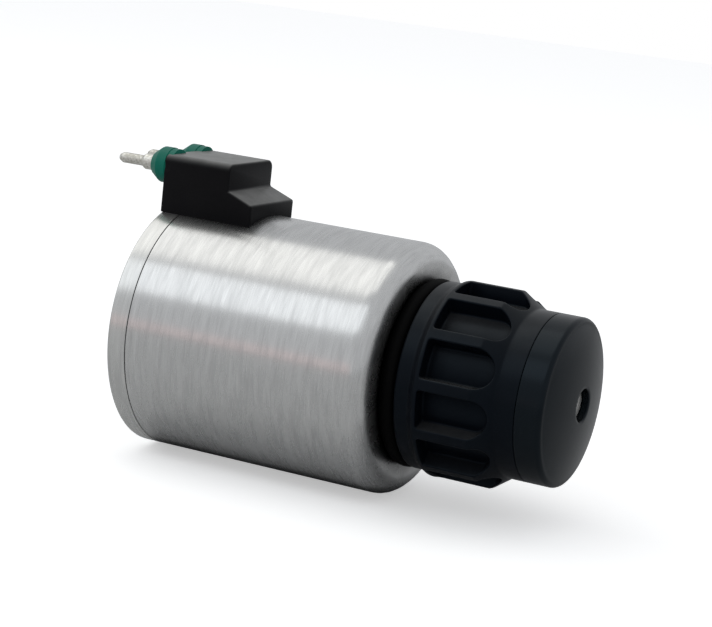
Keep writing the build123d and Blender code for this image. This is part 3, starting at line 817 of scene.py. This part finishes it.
def ring_of_sectors_tree(material: Material) -> NodeTree:
    """Repeats one sector of a grip round the X axis and welds the copies together, in the given material."""
    w, given, result = new_group(
        "ring_of_sectors", "GeometryNodeTree", SHAPE_IN, Port("Sectors", "NodeSocketInt", 12),
        Port("First angle", value=0.0), Port("Weld distance", value=WELD), SHAPE_OUT,
    )
    points = w.add("GeometryNodePoints", Count=given["Sectors"])
    index = w.add("GeometryNodeInputIndex").outputs[0]
    step = w.math("DIVIDE", 2 * math.pi, given["Sectors"])
    angle = w.math("ADD", w.math("MULTIPLY", index, step), given["First angle"])
    turn = w.add("ShaderNodeCombineXYZ", angle).outputs[0]
    copies = w.add(
        "GeometryNodeInstanceOnPoints", Points=points.outputs[0], Instance=given["Geometry"], Rotation=turn
    )
    real = w.add("GeometryNodeRealizeInstances", Geometry=copies.outputs[0]).outputs[0]
    weld = w.add("GeometryNodeMergeByDistance", Geometry=real, Distance=given["Weld distance"])
    finish_tree(w, weld.outputs[0], result[0], material)
    return w.tree


# ---------------------------------------------------------------- coil can and back plate
@dataclass
class CoilCan:
    """The drawn steel can and the flux plate that closes it."""

    wall: float = 2.2
    front_wall: float = 4.0
    shoulder_r: float = 3.5
    rear_edge: float = 0.1
    plate_edge: float = 0.4
    plate_front: float = 3.75
    bore_r: float = 10.15
    groove_inner_r: float = 11.15
    groove_width: float = 3.0
    groove_depth: float = 1.9
    slot_width: float = 12.5
    slot_front: float = 12.15
    seal_recess_r: float = 12.4
    seal_recess_depth: float = 1.95

    def build(self, finishes: Finishes) -> None:
        """Builds and places both pieces in their finishes."""
        stand_for(self.can(finishes["brushed_can"]), "coil_can", "operator")
        stand_for(self.plate(finishes["brushed_plate"]), "back_plate", "operator")

    def can(self, material: Material) -> Object:
        """The can with its rounded front shoulder and the slot for the connector's neck."""
        span = Span.of("coil_can")
        outer = span.radius
        inner = outer - self.wall
        front_inner = span.high.x - self.front_wall
        shell = turned(
            "coil_can_skin",
            [
                Corner(span.low.x, inner),
                Corner(span.low.x, outer, self.rear_edge),
                Corner(span.high.x, outer, self.shoulder_r),
                Corner(span.high.x, self.seal_recess_r, 0.15),
                Corner(span.high.x - self.seal_recess_depth, self.seal_recess_r),
                Corner(span.high.x - self.seal_recess_depth, self.bore_r),
                Corner(front_inner, self.bore_r),
                Corner(front_inner, inner),
            ],
            material,
            segments=256,
        )
        half = self.slot_width / 2
        slot = block_mesh("slot", (span.low.x - 1, -half, inner - 4), (self.slot_front, half, outer + 4))
        return combine(shell, slot, Join.CUT)

    def plate(self, material: Material) -> Object:
        """The back plate with its locating spigot and face groove."""
        span = Span.of("back_plate")
        outer = span.radius
        spigot_r = outer - self.wall
        groove_outer_r = self.groove_inner_r + self.groove_width
        return turned(
            "back_plate_skin",
            [
                Corner(span.low.x, self.bore_r, 0.15),
                Corner(span.low.x, self.groove_inner_r, 0.08),
                Corner(self.groove_depth, self.groove_inner_r),
                Corner(self.groove_depth, groove_outer_r),
                Corner(span.low.x, groove_outer_r, 0.08),
                Corner(span.low.x, outer, self.plate_edge),
                Corner(self.plate_front, outer, self.rear_edge),
                Corner(self.plate_front, spigot_r),
                Corner(span.high.x, spigot_r),
                Corner(span.high.x, self.bore_r),
            ],
            material,
            segments=256,
        )


class Join(Enum):
    """How a tool's shape is combined with a piece."""

    CUT = "DIFFERENCE"
    ADD = "UNION"


def combine(piece: Object, tool: Mesh, how: Join) -> Object:
    """Cuts a tool's shape out of a piece, or adds it, as plain mesh.

    Args:
        piece: the piece to change.
        tool: the closed mesh that is taken away or added.
        how: which of the two.

    Returns:
        The piece.
    """
    helper = bpy.data.objects.new("tool", tool)
    bpy.context.scene.collection.objects.link(helper)
    boolean = piece.modifiers.new("combine", "BOOLEAN")
    boolean.operation = how.value
    boolean.solver = "EXACT"
    boolean.object = helper
    result = bpy.data.meshes.new_from_object(piece.evaluated_get(bpy.context.evaluated_depsgraph_get()))
    piece.modifiers.remove(boolean)
    result.name = piece.data.name
    piece.data = result
    result.set_sharp_from_angle(angle=SMOOTH_BELOW)
    bpy.data.objects.remove(helper)
    return piece


def block_mesh(name: str, low: tuple[float, float, float], high: tuple[float, float, float]) -> Mesh:
    """A plain block between two corners, as a tool for combining."""
    mesh = bpy.data.meshes.new(name)
    with editing(mesh) as work:
        bmesh.ops.create_cube(work, size=1.0)
    size = Vector(high) - Vector(low)
    middle = (Vector(high) + Vector(low)) / 2
    mesh.transform(Matrix.Scale(MM, 4) @ Matrix.Translation(middle) @ Matrix.Diagonal((*size, 1)))
    return mesh


def rod_mesh(name: str, start: float, end: float, radius: float, centre: tuple[float, float]) -> Mesh:
    """A plain round bar along X, as a tool for combining."""
    spots = ((start, 0.0), (start, radius), (end, radius), (end, 0.0))
    return ring_mesh(name, [circle_row(x, r, 192, centre) for x, r in spots])


# ---------------------------------------------------------------- coil nut
Loop = list[tuple[float, float]]
FRONT_STEPS, SIDE_STEPS, CORNER_STEPS, REAR_STEPS, WALL_STEPS = 24, 10, 5, 8, 5
MIN_CORNER_R = 0.02
MIN_POCKET_DEPTH = 0.12
FULL_ROUNDING_DEPTH = 1.4
LOOP_CLEARANCE = 0.16


class GripSector:
    """One sector of the grip: a pocket with half a rib on each side.

    Its skin is laid out flat, with u along the profile and v round the axis, and then rolled up.
    """

    def __init__(self, nut: "CoilNut") -> None:
        """Measures the skin of a nut's grip."""
        self.nut = nut
        self.span = Span.of("nut_body")
        self.tip = self.span.radius
        self.rib_rear = self.span.low.x + nut.flange_w
        self.rib_front = self.rib_rear + nut.rib_length
        profile = self.profile()
        self.xs, self.rs = np.array(profile).T
        self.along = np.cumsum([0.0] + [math.dist(a, b) for a, b in zip(profile, profile[1:])])
        half_turn = math.pi / nut.ribs
        self.half_pocket = self.tip * (half_turn - math.asin(nut.rib_width / 2 / self.tip))
        self.vs = np.linspace(-self.tip * half_turn, self.tip * half_turn, nut.columns + 1)
        self.start = float(np.interp(self.rib_rear, self.xs, self.along))
        self.end = float(np.interp(self.rib_front, self.xs, self.along))
        self.points: list[tuple[float, float, float]] = []
        self.faces: list[list[int]] = []

    def profile(self) -> Loop:
        """The grip's outside as (x, r) from the flange's rear face to the cap's seam."""
        nut, low, high = self.nut, self.span.low.x, self.span.high.x
        corners = [
            Corner(low, nut.bore_r + 1),
            Corner(low, nut.flange_r, 0.5),
            Corner(self.rib_rear - nut.ramp_start, nut.flange_r, 1.2),
            Corner(self.rib_rear - nut.ramp_end, self.tip, 0.6),
            Corner(self.rib_front, self.tip, 0.9),
            Corner(self.rib_front + nut.cone_length, nut.ring_r, 0.9),
            Corner(high, nut.ring_r, nut.seam_edge),
            Corner(high, nut.mouth_r),
        ]
        points = []
        for before, corner, after in zip(corners, corners[1:], corners[2:]):
            points += rounded_corner(before, corner, after)
        filled = [points[0]]
        for start, end in zip(points, points[1:]):
            parts = max(1, math.ceil(math.dist(start, end) / nut.row_step))
            for k in range(1, parts + 1):
                share = k / parts
                filled.append(tuple(a + (b - a) * share for a, b in zip(start, end)))
        return filled

    def skin(self, u: float, v: float) -> tuple[float, float, float]:
        """A flat point's x, angle and radius."""
        x, r = (float(np.interp(u, self.along, row)) for row in (self.xs, self.rs))
        return x, v / self.tip, r

    def pocket_loop(self, grow: float) -> Loop:
        """A closed loop round the pocket, square behind and round in front.

        Args:
            grow: how far outside the pocket's edge the loop runs.

        Returns:
            Points, the same number for every grow.
        """
        corner = max(MIN_CORNER_R, self.nut.corner_r + grow)
        rear, wide, end = self.start - grow, self.half_pocket + grow, self.end
        points = []
        for k in range(FRONT_STEPS + 1):
            angle = -math.pi / 2 + math.pi * k / FRONT_STEPS
            points.append((end + wide * math.cos(angle), wide * math.sin(angle)))
        for k in range(1, SIDE_STEPS):
            points.append((end + (rear + corner - end) * k / SIDE_STEPS, wide))
        for first, middle in ((math.pi / 2, wide - corner), (math.pi, corner - wide)):
            for k in range(CORNER_STEPS + 1):
                angle = first + math.pi / 2 * k / CORNER_STEPS
                points.append((rear + corner + corner * math.cos(angle), middle + corner * math.sin(angle)))
            if first < math.pi:
                points += [(rear, (wide - corner) * (1 - 2 * k / REAR_STEPS)) for k in range(1, REAR_STEPS)]
        for k in range(1, SIDE_STEPS):
            points.append((rear + corner + (end - rear - corner) * k / SIDE_STEPS, -wide))
        return points

    def mesh(self) -> Mesh:
        """The sector's mesh, open at its two sides."""
        flat_loops, starts = self.pocket_walls()
        self.fill(flat_loops[0], starts[0], outside=True)
        self.fill(flat_loops[-1], starts[-1], outside=False)
        self.line_bore()
        coords = [(x, -r * math.sin(angle), r * math.cos(angle)) for x, angle, r in self.points]
        mesh = bpy.data.meshes.new("grip_sector")
        mesh.from_pydata((np.array(coords) * MM).tolist(), [], self.faces)
        with editing(mesh) as work:
            bmesh.ops.remove_doubles(work, verts=work.verts, dist=WELD)
            bmesh.ops.recalc_face_normals(work, faces=work.faces)
        return mesh

    def pocket_walls(self) -> tuple[list[Loop], list[int]]:
        """Adds the pocket's rounded edge, its walls and the rounding at its floor.

        Returns:
            The flat loops from the edge down, and the first point of each.
        """
        nut, limits = self.nut, []
        for u, _ in self.pocket_loop(0.0):
            depth = max(MIN_POCKET_DEPTH, float(np.interp(u, self.along, self.rs)) - nut.root_r)
            limits.append(min(1.0, depth / FULL_ROUNDING_DEPTH))
        turns = [math.pi / 2 * k / WALL_STEPS for k in range(WALL_STEPS + 1)]
        stages = [(nut.edge_r * (1 - math.sin(t)), nut.edge_r * (1 - math.cos(t)), False) for t in turns]
        stages += [(-nut.floor_r * (1 - math.cos(t)), -nut.floor_r * (1 - math.sin(t)), True) for t in turns]
        flat_loops, starts = [], []
        for grow, drop, on_floor in stages:
            starts.append(len(self.points))
            flat_loops.append([self.pocket_loop(grow * limit)[k] for k, limit in enumerate(limits)])
            for (u, v), limit in zip(flat_loops[-1], limits):
                x, angle, r = self.skin(u, v)
                self.points.append((x, angle, (nut.root_r if on_floor else r) - drop * limit))
        for a, b in zip(starts, starts[1:]):
            for k in range(len(limits)):
                after = (k + 1) % len(limits)
                self.faces.append([a + k, a + after, b + after, b + k])
        return flat_loops, starts

    def fill(self, loop: Loop, first: int, outside: bool) -> None:
        """Fills the skin outside a loop, or the pocket's floor inside it, with triangles.

        Args:
            loop: the loop's flat points.
            first: the loop's first point among the points.
            outside: whether the part outside the loop is filled.
        """
        shape = np.array(loop)
        flat = [Vector(p) for p in loop]
        index = [first + k for k in range(len(loop))]
        for u in self.along:
            for v in self.vs:
                gap = float(np.min(np.hypot(shape[:, 0] - u, shape[:, 1] - v)))
                if point_in_loop(u, v, shape) != outside and gap > LOOP_CLEARANCE:
                    flat.append(Vector((u, v)))
                    index.append(len(self.points))
                    x, angle, r = self.skin(float(u), float(v))
                    self.points.append((x, angle, r if outside else self.nut.root_r))
        ring = [(k, (k + 1) % len(loop)) for k in range(len(loop))]
        verts, _, tris, origins, _, _ = delaunay_2d_cdt(flat, ring, [], 0, 1e-7)
        for tri in tris:
            middle = sum((verts[k] for k in tri), Vector((0, 0))) / 3
            if point_in_loop(middle.x, middle.y, shape) != outside:
                self.faces.append([index[origins[k][0]] for k in tri])

    def line_bore(self) -> None:
        """Closes the sector behind, in its bore and at its mouth."""
        nut, low, high = self.nut, self.span.low.x, self.span.high.x
        bottom = high - nut.mouth_depth
        lining = [
            (float(self.xs[-1]), float(self.rs[-1])),
            (high, nut.mouth_r + 0.1),
            (high - 0.1, nut.mouth_r),
            (bottom, nut.mouth_r),
            (bottom, nut.bore_r),
            (low, nut.bore_r),
            (float(self.xs[0]), float(self.rs[0])),
        ]
        first, width = len(self.points), len(self.vs)
        for x, r in lining:
            self.points += [(x, float(v) / self.tip, r) for v in self.vs]
        for row in range(len(lining) - 1):
            for k in range(width - 1):
                a = first + row * width + k
                self.faces.append([a, a + 1, a + 1 + width, a + width])


@dataclass
class CoilNut:
    """The ribbed plastic grip of the coil nut and its cap."""

    ribs: int = 12
    rib_width: float = 2.15
    first_pocket_deg: float = 9.0
    flange_r: float = 17.0
    flange_w: float = 4.6
    ramp_start: float = 1.8
    ramp_end: float = 0.6
    root_r: float = 14.8
    ring_r: float = 15.1
    rib_length: float = 9.7
    cone_length: float = 3.6
    seam_edge: float = 0.15
    mouth_r: float = 13.0
    mouth_depth: float = 3.35
    bore_r: float = 12.72
    edge_r: float = 0.28
    floor_r: float = 0.4
    corner_r: float = 0.5
    row_step: float = 0.42
    columns: int = 24
    hole_r: float = 2.95
    hole_edge: float = 0.28
    rim_length: float = 4.9
    rim_edge: float = 0.95
    dome_rise: float = 1.93
    face_t: float = 2.2
    spigot_wall: float = 1.5

    def build(self, finishes: Finishes) -> None:
        """Builds and places the grip and the cap in their finishes."""
        material = finishes["grip_plastic"]
        values = {"Sectors": self.ribs, "First angle": math.radians(self.first_pocket_deg)}
        ring = run_tree(GripSector(self).mesh(), ring_of_sectors_tree(material), values, "nut_grip")
        stand_for(add_piece(ring, "nut_grip", material), "nut_body", "coil_nut")
        stand_for(self.cap(finishes["cap_plastic"]), "nut_cap", "coil_nut")

    def cap(self, material: Material) -> Object:
        """The domed cap with the hole of the override button."""
        span = Span.of("nut_cap")
        outer = span.radius
        seam = Span.of("nut_body").high.x
        spigot_r = self.mouth_r - 0.05
        rim_front = seam + self.rim_length
        face_r = outer - self.rim_edge
        dome_r = (face_r**2 + self.dome_rise**2) / (2 * self.dome_rise)
        nose = rim_front + self.dome_rise

        def dome(radius: float) -> Corner:
            """A point of the dome."""
            return Corner(nose - dome_r + math.sqrt(dome_r**2 - radius**2), radius)

        rim = [
            Corner(rim_front - self.rim_edge * (1 - math.cos(a)), outer - self.rim_edge * (1 - math.sin(a)))
            for a in [math.pi / 2 * k / 8 for k in range(8, -1, -1)]
        ]
        face = [dome(face_r + (self.hole_r + self.hole_edge - face_r) * k / 24) for k in range(1, 25)]
        lip = face[-1].x
        inner_face = rim_front - self.face_t + self.dome_rise / 2
        corners = [
            Corner(span.low.x, spigot_r),
            Corner(seam, spigot_r),
            Corner(seam, outer - self.seam_edge),
            Corner(seam + self.seam_edge, outer),
            *rim,
            *face,
            Corner(lip - 0.06, self.hole_r + 0.10),
            Corner(lip - 0.22, self.hole_r),
            Corner(inner_face, self.hole_r),
            Corner(inner_face, spigot_r - self.spigot_wall),
            Corner(span.low.x, spigot_r - self.spigot_wall),
        ]
        return turned("nut_cap_skin", corners, material, segments=256)


def point_in_loop(u: float, v: float, loop: np.ndarray) -> bool:
    """Whether a flat point lies inside a closed loop."""
    u0, v0 = loop[:, 0], loop[:, 1]
    u1, v1 = np.roll(u0, -1), np.roll(v0, -1)
    crosses = (v0 > v) != (v1 > v)
    with np.errstate(divide="ignore", invalid="ignore"):
        at = u0 + (v - v0) * (u1 - u0) / (v1 - v0)
    return bool(np.count_nonzero(crosses & (at > u)) % 2)


# ---------------------------------------------------------------- connector
@dataclass
class Connector:
    """The plug-in block on the can, its terminal pins and their seals."""

    front: float = 13.5
    step_drop: float = 4.9
    foot_drop: float = 1.9
    below: float = 14.0
    side_edge_r: float = 1.5
    edge_r: float = 0.4
    saddle_r: float = 23.02
    pocket_r: float = 3.24
    neck_low: tuple[float, float, float] = (4.2, -6.2, 19.0)
    neck_high: tuple[float, float, float] = (12.1, 6.2, 24.0)
    pin_r: float = 1.0
    collar_r: float = 1.5
    collar_length: float = 2.8
    head_r: float = 3.35
    cone: float = 1.75
    nose_r: float = 2.1
    sink: float = 1.25
    stem_r: float = 2.2
    block_rear: float = -0.3

    def build(self, finishes: Finishes) -> None:
        """Builds and places the block, pins and seals in their finishes."""
        housing = self.housing(finishes["connector_plastic"])
        stand_for(housing, "connector_housing", "operator")
        for side in ("near", "far"):
            pin = self.pin(side, finishes["tinned_pin"])
            stand_for(pin, f"terminal_pin_{side}", "operator")
            seal = self.seal(side, finishes["green_rubber"])
            stand_for(seal, f"pin_seal_{side}", "operator")

    def housing(self, material: Material) -> Object:
        """The block with its rounded edges, hollowed for the can and for the heads of the seals."""
        span = Span.of("connector_housing")
        top, half = span.high.z, span.high.y
        outline = [
            (span.low.x, self.below),
            (span.low.x, top),
            (self.front, top),
            (self.front, top - self.step_drop),
            (span.high.x, top - self.step_drop - self.foot_drop),
            (span.high.x, self.below),
        ]
        mesh = bpy.data.meshes.new("connector_housing_skin")
        with editing(mesh) as work:
            near, far = ([work.verts.new((x, y, z)) for x, z in outline] for y in (-half, half))
            work.faces.new(near)
            work.faces.new(far[::-1])
            for k in range(len(outline)):
                after = (k + 1) % len(outline)
                work.faces.new((near[k], near[after], far[after], far[k]))
            bmesh.ops.recalc_face_normals(work, faces=work.faces)
            upper = [e for e in work.edges if all(v.co.z > top - 0.01 for v in e.verts)]
            self.round_off(work, [e for e in upper if self.runs_along_x(e)], self.side_edge_r, 7)
            exposed = [e for e in work.edges if max(v.co.z for v in e.verts) > self.below + 1]
            self.round_off(work, [e for e in exposed if e.calc_face_angle() > 0.3], self.edge_r, 3)
        mesh.transform(Matrix.Scale(MM, 4))
        block = add_piece(mesh, "connector_housing_skin", material)
        saddle = rod_mesh("saddle", span.low.x - 2, span.high.x + 2, self.saddle_r, AXIS)
        block = combine(block, saddle, Join.CUT)
        block = combine(block, block_mesh("neck", self.neck_low, self.neck_high), Join.ADD)
        for side in ("near", "far"):
            seal = Span.of(f"pin_seal_{side}").centre
            reach = (span.low.x - 2, span.low.x + self.sink)
            pocket = rod_mesh("pocket", *reach, self.pocket_r, (seal.y, seal.z))
            block = combine(block, pocket, Join.CUT)
        return block

    @staticmethod
    def runs_along_x(edge: bmesh.types.BMEdge) -> bool:
        """Whether an edge keeps its Y and Z."""
        start, end = (v.co for v in edge.verts)
        return math.hypot(start.y - end.y, start.z - end.z) < 0.01

    @staticmethod
    def round_off(
        work: bmesh.types.BMesh, edges: list[bmesh.types.BMEdge], radius: float, steps: int
    ) -> None:
        """Rounds edges of a block in millimetres."""
        bmesh.ops.bevel(
            work, geom=edges, offset=radius, offset_type="OFFSET", segments=steps, profile=0.5, affect="EDGES"
        )

    def pin(self, side: str, material: Material) -> Object:
        """One terminal pin."""
        span = Span.of(f"terminal_pin_{side}")
        collar_front = Span.of(f"pin_seal_{side}").low.x - 0.02
        collar_rear = collar_front - self.collar_length
        centre = (span.centre.y, span.centre.z)
        corners = [
            Corner(span.low.x, 0.0),
            Corner(span.low.x, self.pin_r * 0.55, 0.3),
            Corner(span.low.x + 0.8, self.pin_r, 0.6),
            Corner(collar_rear, self.pin_r, 0.2),
            Corner(collar_rear + 0.8, self.collar_r, 0.3),
            Corner(collar_front, self.collar_r, 0.1),
            Corner(collar_front, self.pin_r),
            Corner(span.high.x, self.pin_r),
            Corner(span.high.x, 0.0),
        ]
        return turned(f"terminal_pin_{side}_skin", corners, material, 56, centre)

    def seal(self, side: str, material: Material) -> Object:
        """One rubber pin seal."""
        span = Span.of(f"pin_seal_{side}")
        head_front = self.block_rear + self.sink - 0.02
        centre = (span.centre.y, span.centre.z)
        bore_r = self.pin_r + 0.02
        corners = [
            Corner(span.low.x, bore_r),
            Corner(span.low.x, self.nose_r, 0.25),
            Corner(span.low.x + self.cone, self.head_r, 0.6),
            Corner(self.block_rear, self.head_r, 0.05),
            Corner(self.block_rear, self.pocket_r - 0.02),
            Corner(head_front, self.pocket_r - 0.02),
            Corner(head_front, self.stem_r),
            Corner(span.high.x, self.stem_r),
            Corner(span.high.x, bore_r),
        ]
        return turned(f"pin_seal_{side}_skin", corners, material, 96, centre)


# ---------------------------------------------------------------- tube, springs and seals
@dataclass
class TubeParts:
    """What shows of the armature tube: threaded stub, push pin, button, springs and seals."""

    stub_r: float = 9.0
    thread_depth: float = 0.8
    pitch: float = 1.5
    lead_in: float = 0.6
    relief: float = 0.9
    turns_points: int = 144
    wire: float = 0.7
    spring_turns: float = 7.0
    stroke: float = 3.0
    shoulder_x: float = 0.5
    pin_way_r: float = 3.02
    mouth_r: float = 3.2
    spigot_step: float = 0.72
    spigot_x: float = 15.0
    recess_r: float = 7.7
    recess_floor: float = 15.5
    spring_r: float = 3.6
    spring_floor: float = 8.5
    guide_r: float = 1.9
    bush_end: float = 4.0
    collar_face: float = 13.95
    collar_length: float = 2.4
    press_r: float = 2.65

    def build(self, finishes: Finishes) -> None:
        """Builds and places the pieces in their finishes."""
        stand_for(self.pole(finishes["plated_steel"]), "pole_piece", "operator")
        stand_for(self.button(finishes["button_steel"]), "override_button", "override")
        stand_for(self.push_pin(finishes["ground_pin"]), "push_pin", "moving_core")
        self.seals(finishes["black_rubber"])
        self.springs(finishes["spring_steel"])

    def thread_radius(self, x: np.ndarray, angle: np.ndarray, tip_x: float) -> np.ndarray:
        """The stub's radius at places along and round it, with a right-hand thread."""
        phase = ((x - tip_x) / self.pitch + angle / (2 * math.pi)) % 1.0
        height = np.clip(2.6 * (0.5 - np.abs(phase - 0.5)) - 0.15, 0.0, 1.0)
        fade_in = np.clip((x - tip_x) / self.lead_in, 0.0, 1.0)
        fade_out = np.clip((-self.relief - x) / 0.35, 0.0, 1.0)
        return self.stub_r - self.thread_depth * (1 - height * fade_in * fade_out)

    def pole(self, material: Material) -> Object:
        """The pole piece with a helical thread on its stub."""
        span = Span.of("pole_piece")
        tube_r = span.radius
        tip = span.low.x
        angle = np.arange(self.turns_points) * (2 * math.pi / self.turns_points)
        mouth = ((tip + 0.15, self.pin_way_r), (tip, self.mouth_r))
        rows = [circle_row(x, r, self.turns_points, AXIS) for x, r in mouth]
        for x in np.arange(tip, -0.001, 0.1):
            r = self.thread_radius(np.full_like(angle, x), angle, tip)
            rows.append(np.stack([np.full_like(angle, x), r * np.cos(angle), r * np.sin(angle)], axis=1))
        spigot_r = tube_r - self.spigot_step
        root = self.shoulder_x
        inside = [
            (root, self.stub_r - self.thread_depth),
            (root, tube_r - 0.2),
            (root + 0.2, tube_r),
            (self.spigot_x, tube_r),
            (self.spigot_x, spigot_r),
            (span.high.x, spigot_r),
            (span.high.x, self.recess_r),
            (self.recess_floor, self.recess_r),
            (self.recess_floor, self.spring_r),
            (self.spring_floor, self.spring_r),
            (self.spring_floor, self.guide_r),
            (self.bush_end, self.guide_r),
            (self.bush_end, self.pin_way_r),
        ]
        rows += [circle_row(x, r, self.turns_points, AXIS) for x, r in inside]
        return add_piece(ring_mesh("pole_piece_skin", rows), "pole_piece_skin", material)

    def button(self, material: Material) -> Object:
        """The stepped override button."""
        span = Span.of("override_button")
        collar_front = Span.of("end_plug").low.x + self.collar_face
        corners = [
            Corner(span.low.x, 0.0),
            Corner(span.low.x, 1.8, 0.4),
            Corner(collar_front - self.collar_length, 1.8),
            Corner(collar_front - self.collar_length, span.radius, 0.2),
            Corner(collar_front, span.radius, 0.2),
            Corner(collar_front, self.press_r),
            Corner(span.high.x, self.press_r, 0.5),
            Corner(span.high.x, 0.0),
        ]
        return turned("override_button_skin", corners, material, 96)

    def push_pin(self, material: Material) -> Object:
        """The push pin with its rounded tip."""
        span = Span.of("push_pin")
        corners = [
            Corner(span.low.x, 0.0),
            Corner(span.low.x, span.radius, 0.5),
            Corner(span.high.x, span.radius),
            Corner(span.high.x, 0.0),
        ]
        return turned("push_pin_skin", corners, material, 72)

    def seals(self, material: Material) -> None:
        """The ring seals, each sized from its CAD node."""
        for node in ("flange_seal", "rear_face_seal", "front_tube_seal", "override_seal"):
            body = "seal_carriage" if node == "flange_seal" else "operator"
            span = Span.of(node)
            section = span.high.x - span.low.x
            ring = o_ring(node + "_ring", span.centre.x, span.radius - section / 2, section, material)
            stand_for(ring, node, body)

    def springs(self, material: Material) -> None:
        """The two springs, each a coil built to its CAD node's box."""
        tree = spring_tree(material)
        for node, joint in (("override_spring", "override_press"), ("armature_spring", "armature_slide")):
            span = Span.of(node)
            length = span.high.x - span.low.x
            values = {
                "Start": (span.low.x + self.wire / 2) * MM,
                "Length": (length - self.wire) * MM,
                "Mean radius": (span.radius - self.wire / 2) * MM,
                "Wire radius": self.wire / 2 * MM,
                "Turns": self.spring_turns,
            }
            mesh = run_tree(bpy.data.meshes.new(node), tree, values, node + "_coil")
            piece = stand_for(add_piece(mesh, node + "_coil", material), node, "operator")
            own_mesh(piece)


# ---------------------------------------------------------------- studio
@dataclass
class Softbox:
    """A plain rectangular light that faces the part."""

    name: str
    towards: tuple[float, float, float]
    distance: float
    width: float
    height: float
    power: float
    colour: tuple[float, float, float] = (1.0, 1.0, 1.0)

    def hang(self, target: Vector) -> None:
        """Puts the light in the scene, facing a point.

        Args:
            target: the point, in metres.
        """
        light = bpy.data.lights.new(self.name, "AREA")
        light.shape = "RECTANGLE"
        light.size = self.width
        light.size_y = self.height
        light.energy = self.power
        light.color = self.colour
        lamp = bpy.data.objects.new(self.name, light)
        bpy.context.scene.collection.objects.link(lamp)
        away = Vector(self.towards).normalized()
        along = (Vector((1, 0, 0)) - away * away.x).normalized()
        place = Matrix((along, away.cross(along), away)).transposed().to_4x4()
        place.translation = target + away * self.distance
        lamp.matrix_world = place


@dataclass
class Studio:
    """Floor, lights and camera."""

    azimuth: float = 25.48
    elevation: float = 10.67
    roll: float = 6.25
    distance: float = 393.4
    aim: tuple[float, float, float] = (36.87, 2.08, 7.70)
    lens: float = 109.05
    sensor: float = 36.0
    floor_size: float = 3.0
    world_grey: float = 0.55

    def build(self) -> None:
        """Builds the studio."""
        self.place_camera()
        self.lay_floor()
        self.light()

    def place_camera(self) -> None:
        """The camera at the viewing angle, tilted by the roll."""
        a, e, roll = (math.radians(v) for v in (self.azimuth, self.elevation, self.roll))
        back = Vector((math.sin(a) * math.cos(e), -math.cos(a) * math.cos(e), math.sin(e)))
        level = (-back).cross(Vector((0, 0, 1))).normalized()
        upright = level.cross(-back)
        right = level * math.cos(roll) + upright * math.sin(roll)
        up = upright * math.cos(roll) - level * math.sin(roll)
        camera = bpy.data.objects.new("camera", bpy.data.cameras.new("camera"))
        camera.data.lens = self.lens
        camera.data.sensor_width = self.sensor
        camera.data.clip_start = 0.01
        camera.data.clip_end = 20.0
        place = Matrix((right, up, back)).transposed().to_4x4()
        place.translation = (Vector(self.aim) + back * self.distance) * MM
        camera.matrix_world = place
        bpy.context.scene.collection.objects.link(camera)
        bpy.context.scene.camera = camera

    def lay_floor(self) -> None:
        """A plain pale floor just under the can."""
        low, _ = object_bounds()
        mesh = bpy.data.meshes.new("floor")
        half = self.floor_size / 2
        z = low[2] - 0.0002
        square = ((-half, -half), (half, -half), (half, half), (-half, half))
        mesh.from_pydata([(x, y, z) for x, y in square], [], [(0, 1, 2, 3)])
        floor = bpy.data.objects.new("floor", mesh)
        bpy.context.scene.collection.objects.link(floor)
        material, w, shader, _ = start_material("pale_floor")
        seen = w.add("ShaderNodeLightPath").outputs["Is Camera Ray"]
        w.join(w.mix(seen, (0.54, 0.54, 0.54, 1), (0.96, 0.96, 0.96, 1)), shader.inputs["Base Color"])
        w.join(w.mix(seen, (0, 0, 0, 1), (0.45, 0.45, 0.45, 1)), shader.inputs["Emission Color"])
        shader.inputs["Emission Strength"].default_value = 1.0
        shader.inputs["Roughness"].default_value = 0.8
        mesh.materials.append(material)
        floor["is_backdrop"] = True

    def light(self) -> None:
        """Softboxes above and in front, with an even surround."""
        world = bpy.data.worlds.new("surround")
        bpy.context.scene.world = world
        world.use_nodes = True
        w = Wiring(world.node_tree)
        background = world.node_tree.nodes["Background"]
        seen = w.add("ShaderNodeLightPath").outputs["Is Camera Ray"]
        grey = tuple(self.world_grey * c for c in (0.95, 0.97, 1.0))
        w.join(w.mix(seen, grey + (1.0,), (1, 1, 1, 1)), background.inputs["Color"])
        target = Vector((35, 0, 0)) * MM
        for box in (
            Softbox("overhead_box", (-0.42, 0.02, 0.9), 0.8, 1.1, 0.58, 1.28, (1.0, 0.99, 0.94)),
            Softbox("front_box", (-0.42, -0.62, 0.66), 0.8, 1.1, 0.36, 0.80, (0.93, 0.97, 1.0)),
            Softbox("side_strip", (-0.42, -0.9, 0.02), 0.9, 0.9, 0.15, 0.05, (1.0, 0.25, 0.15)),
        ):
            box.hang(target)
        bpy.context.scene.view_settings.view_transform = "Standard"


def main() -> None:
    """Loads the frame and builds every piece."""
    logging.basicConfig(level=logging.INFO, format="%(name)s: %(message)s")
    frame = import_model()
    finishes = Finishes()
    finishes.dress(frame["nodes"], frame["record"]["subparts"])
    CoilCan().build(finishes)
    Connector().build(finishes)
    TubeParts().build(finishes)
    CoilNut().build(finishes)
    Studio().build()


if __name__ == "__main__":
    main()
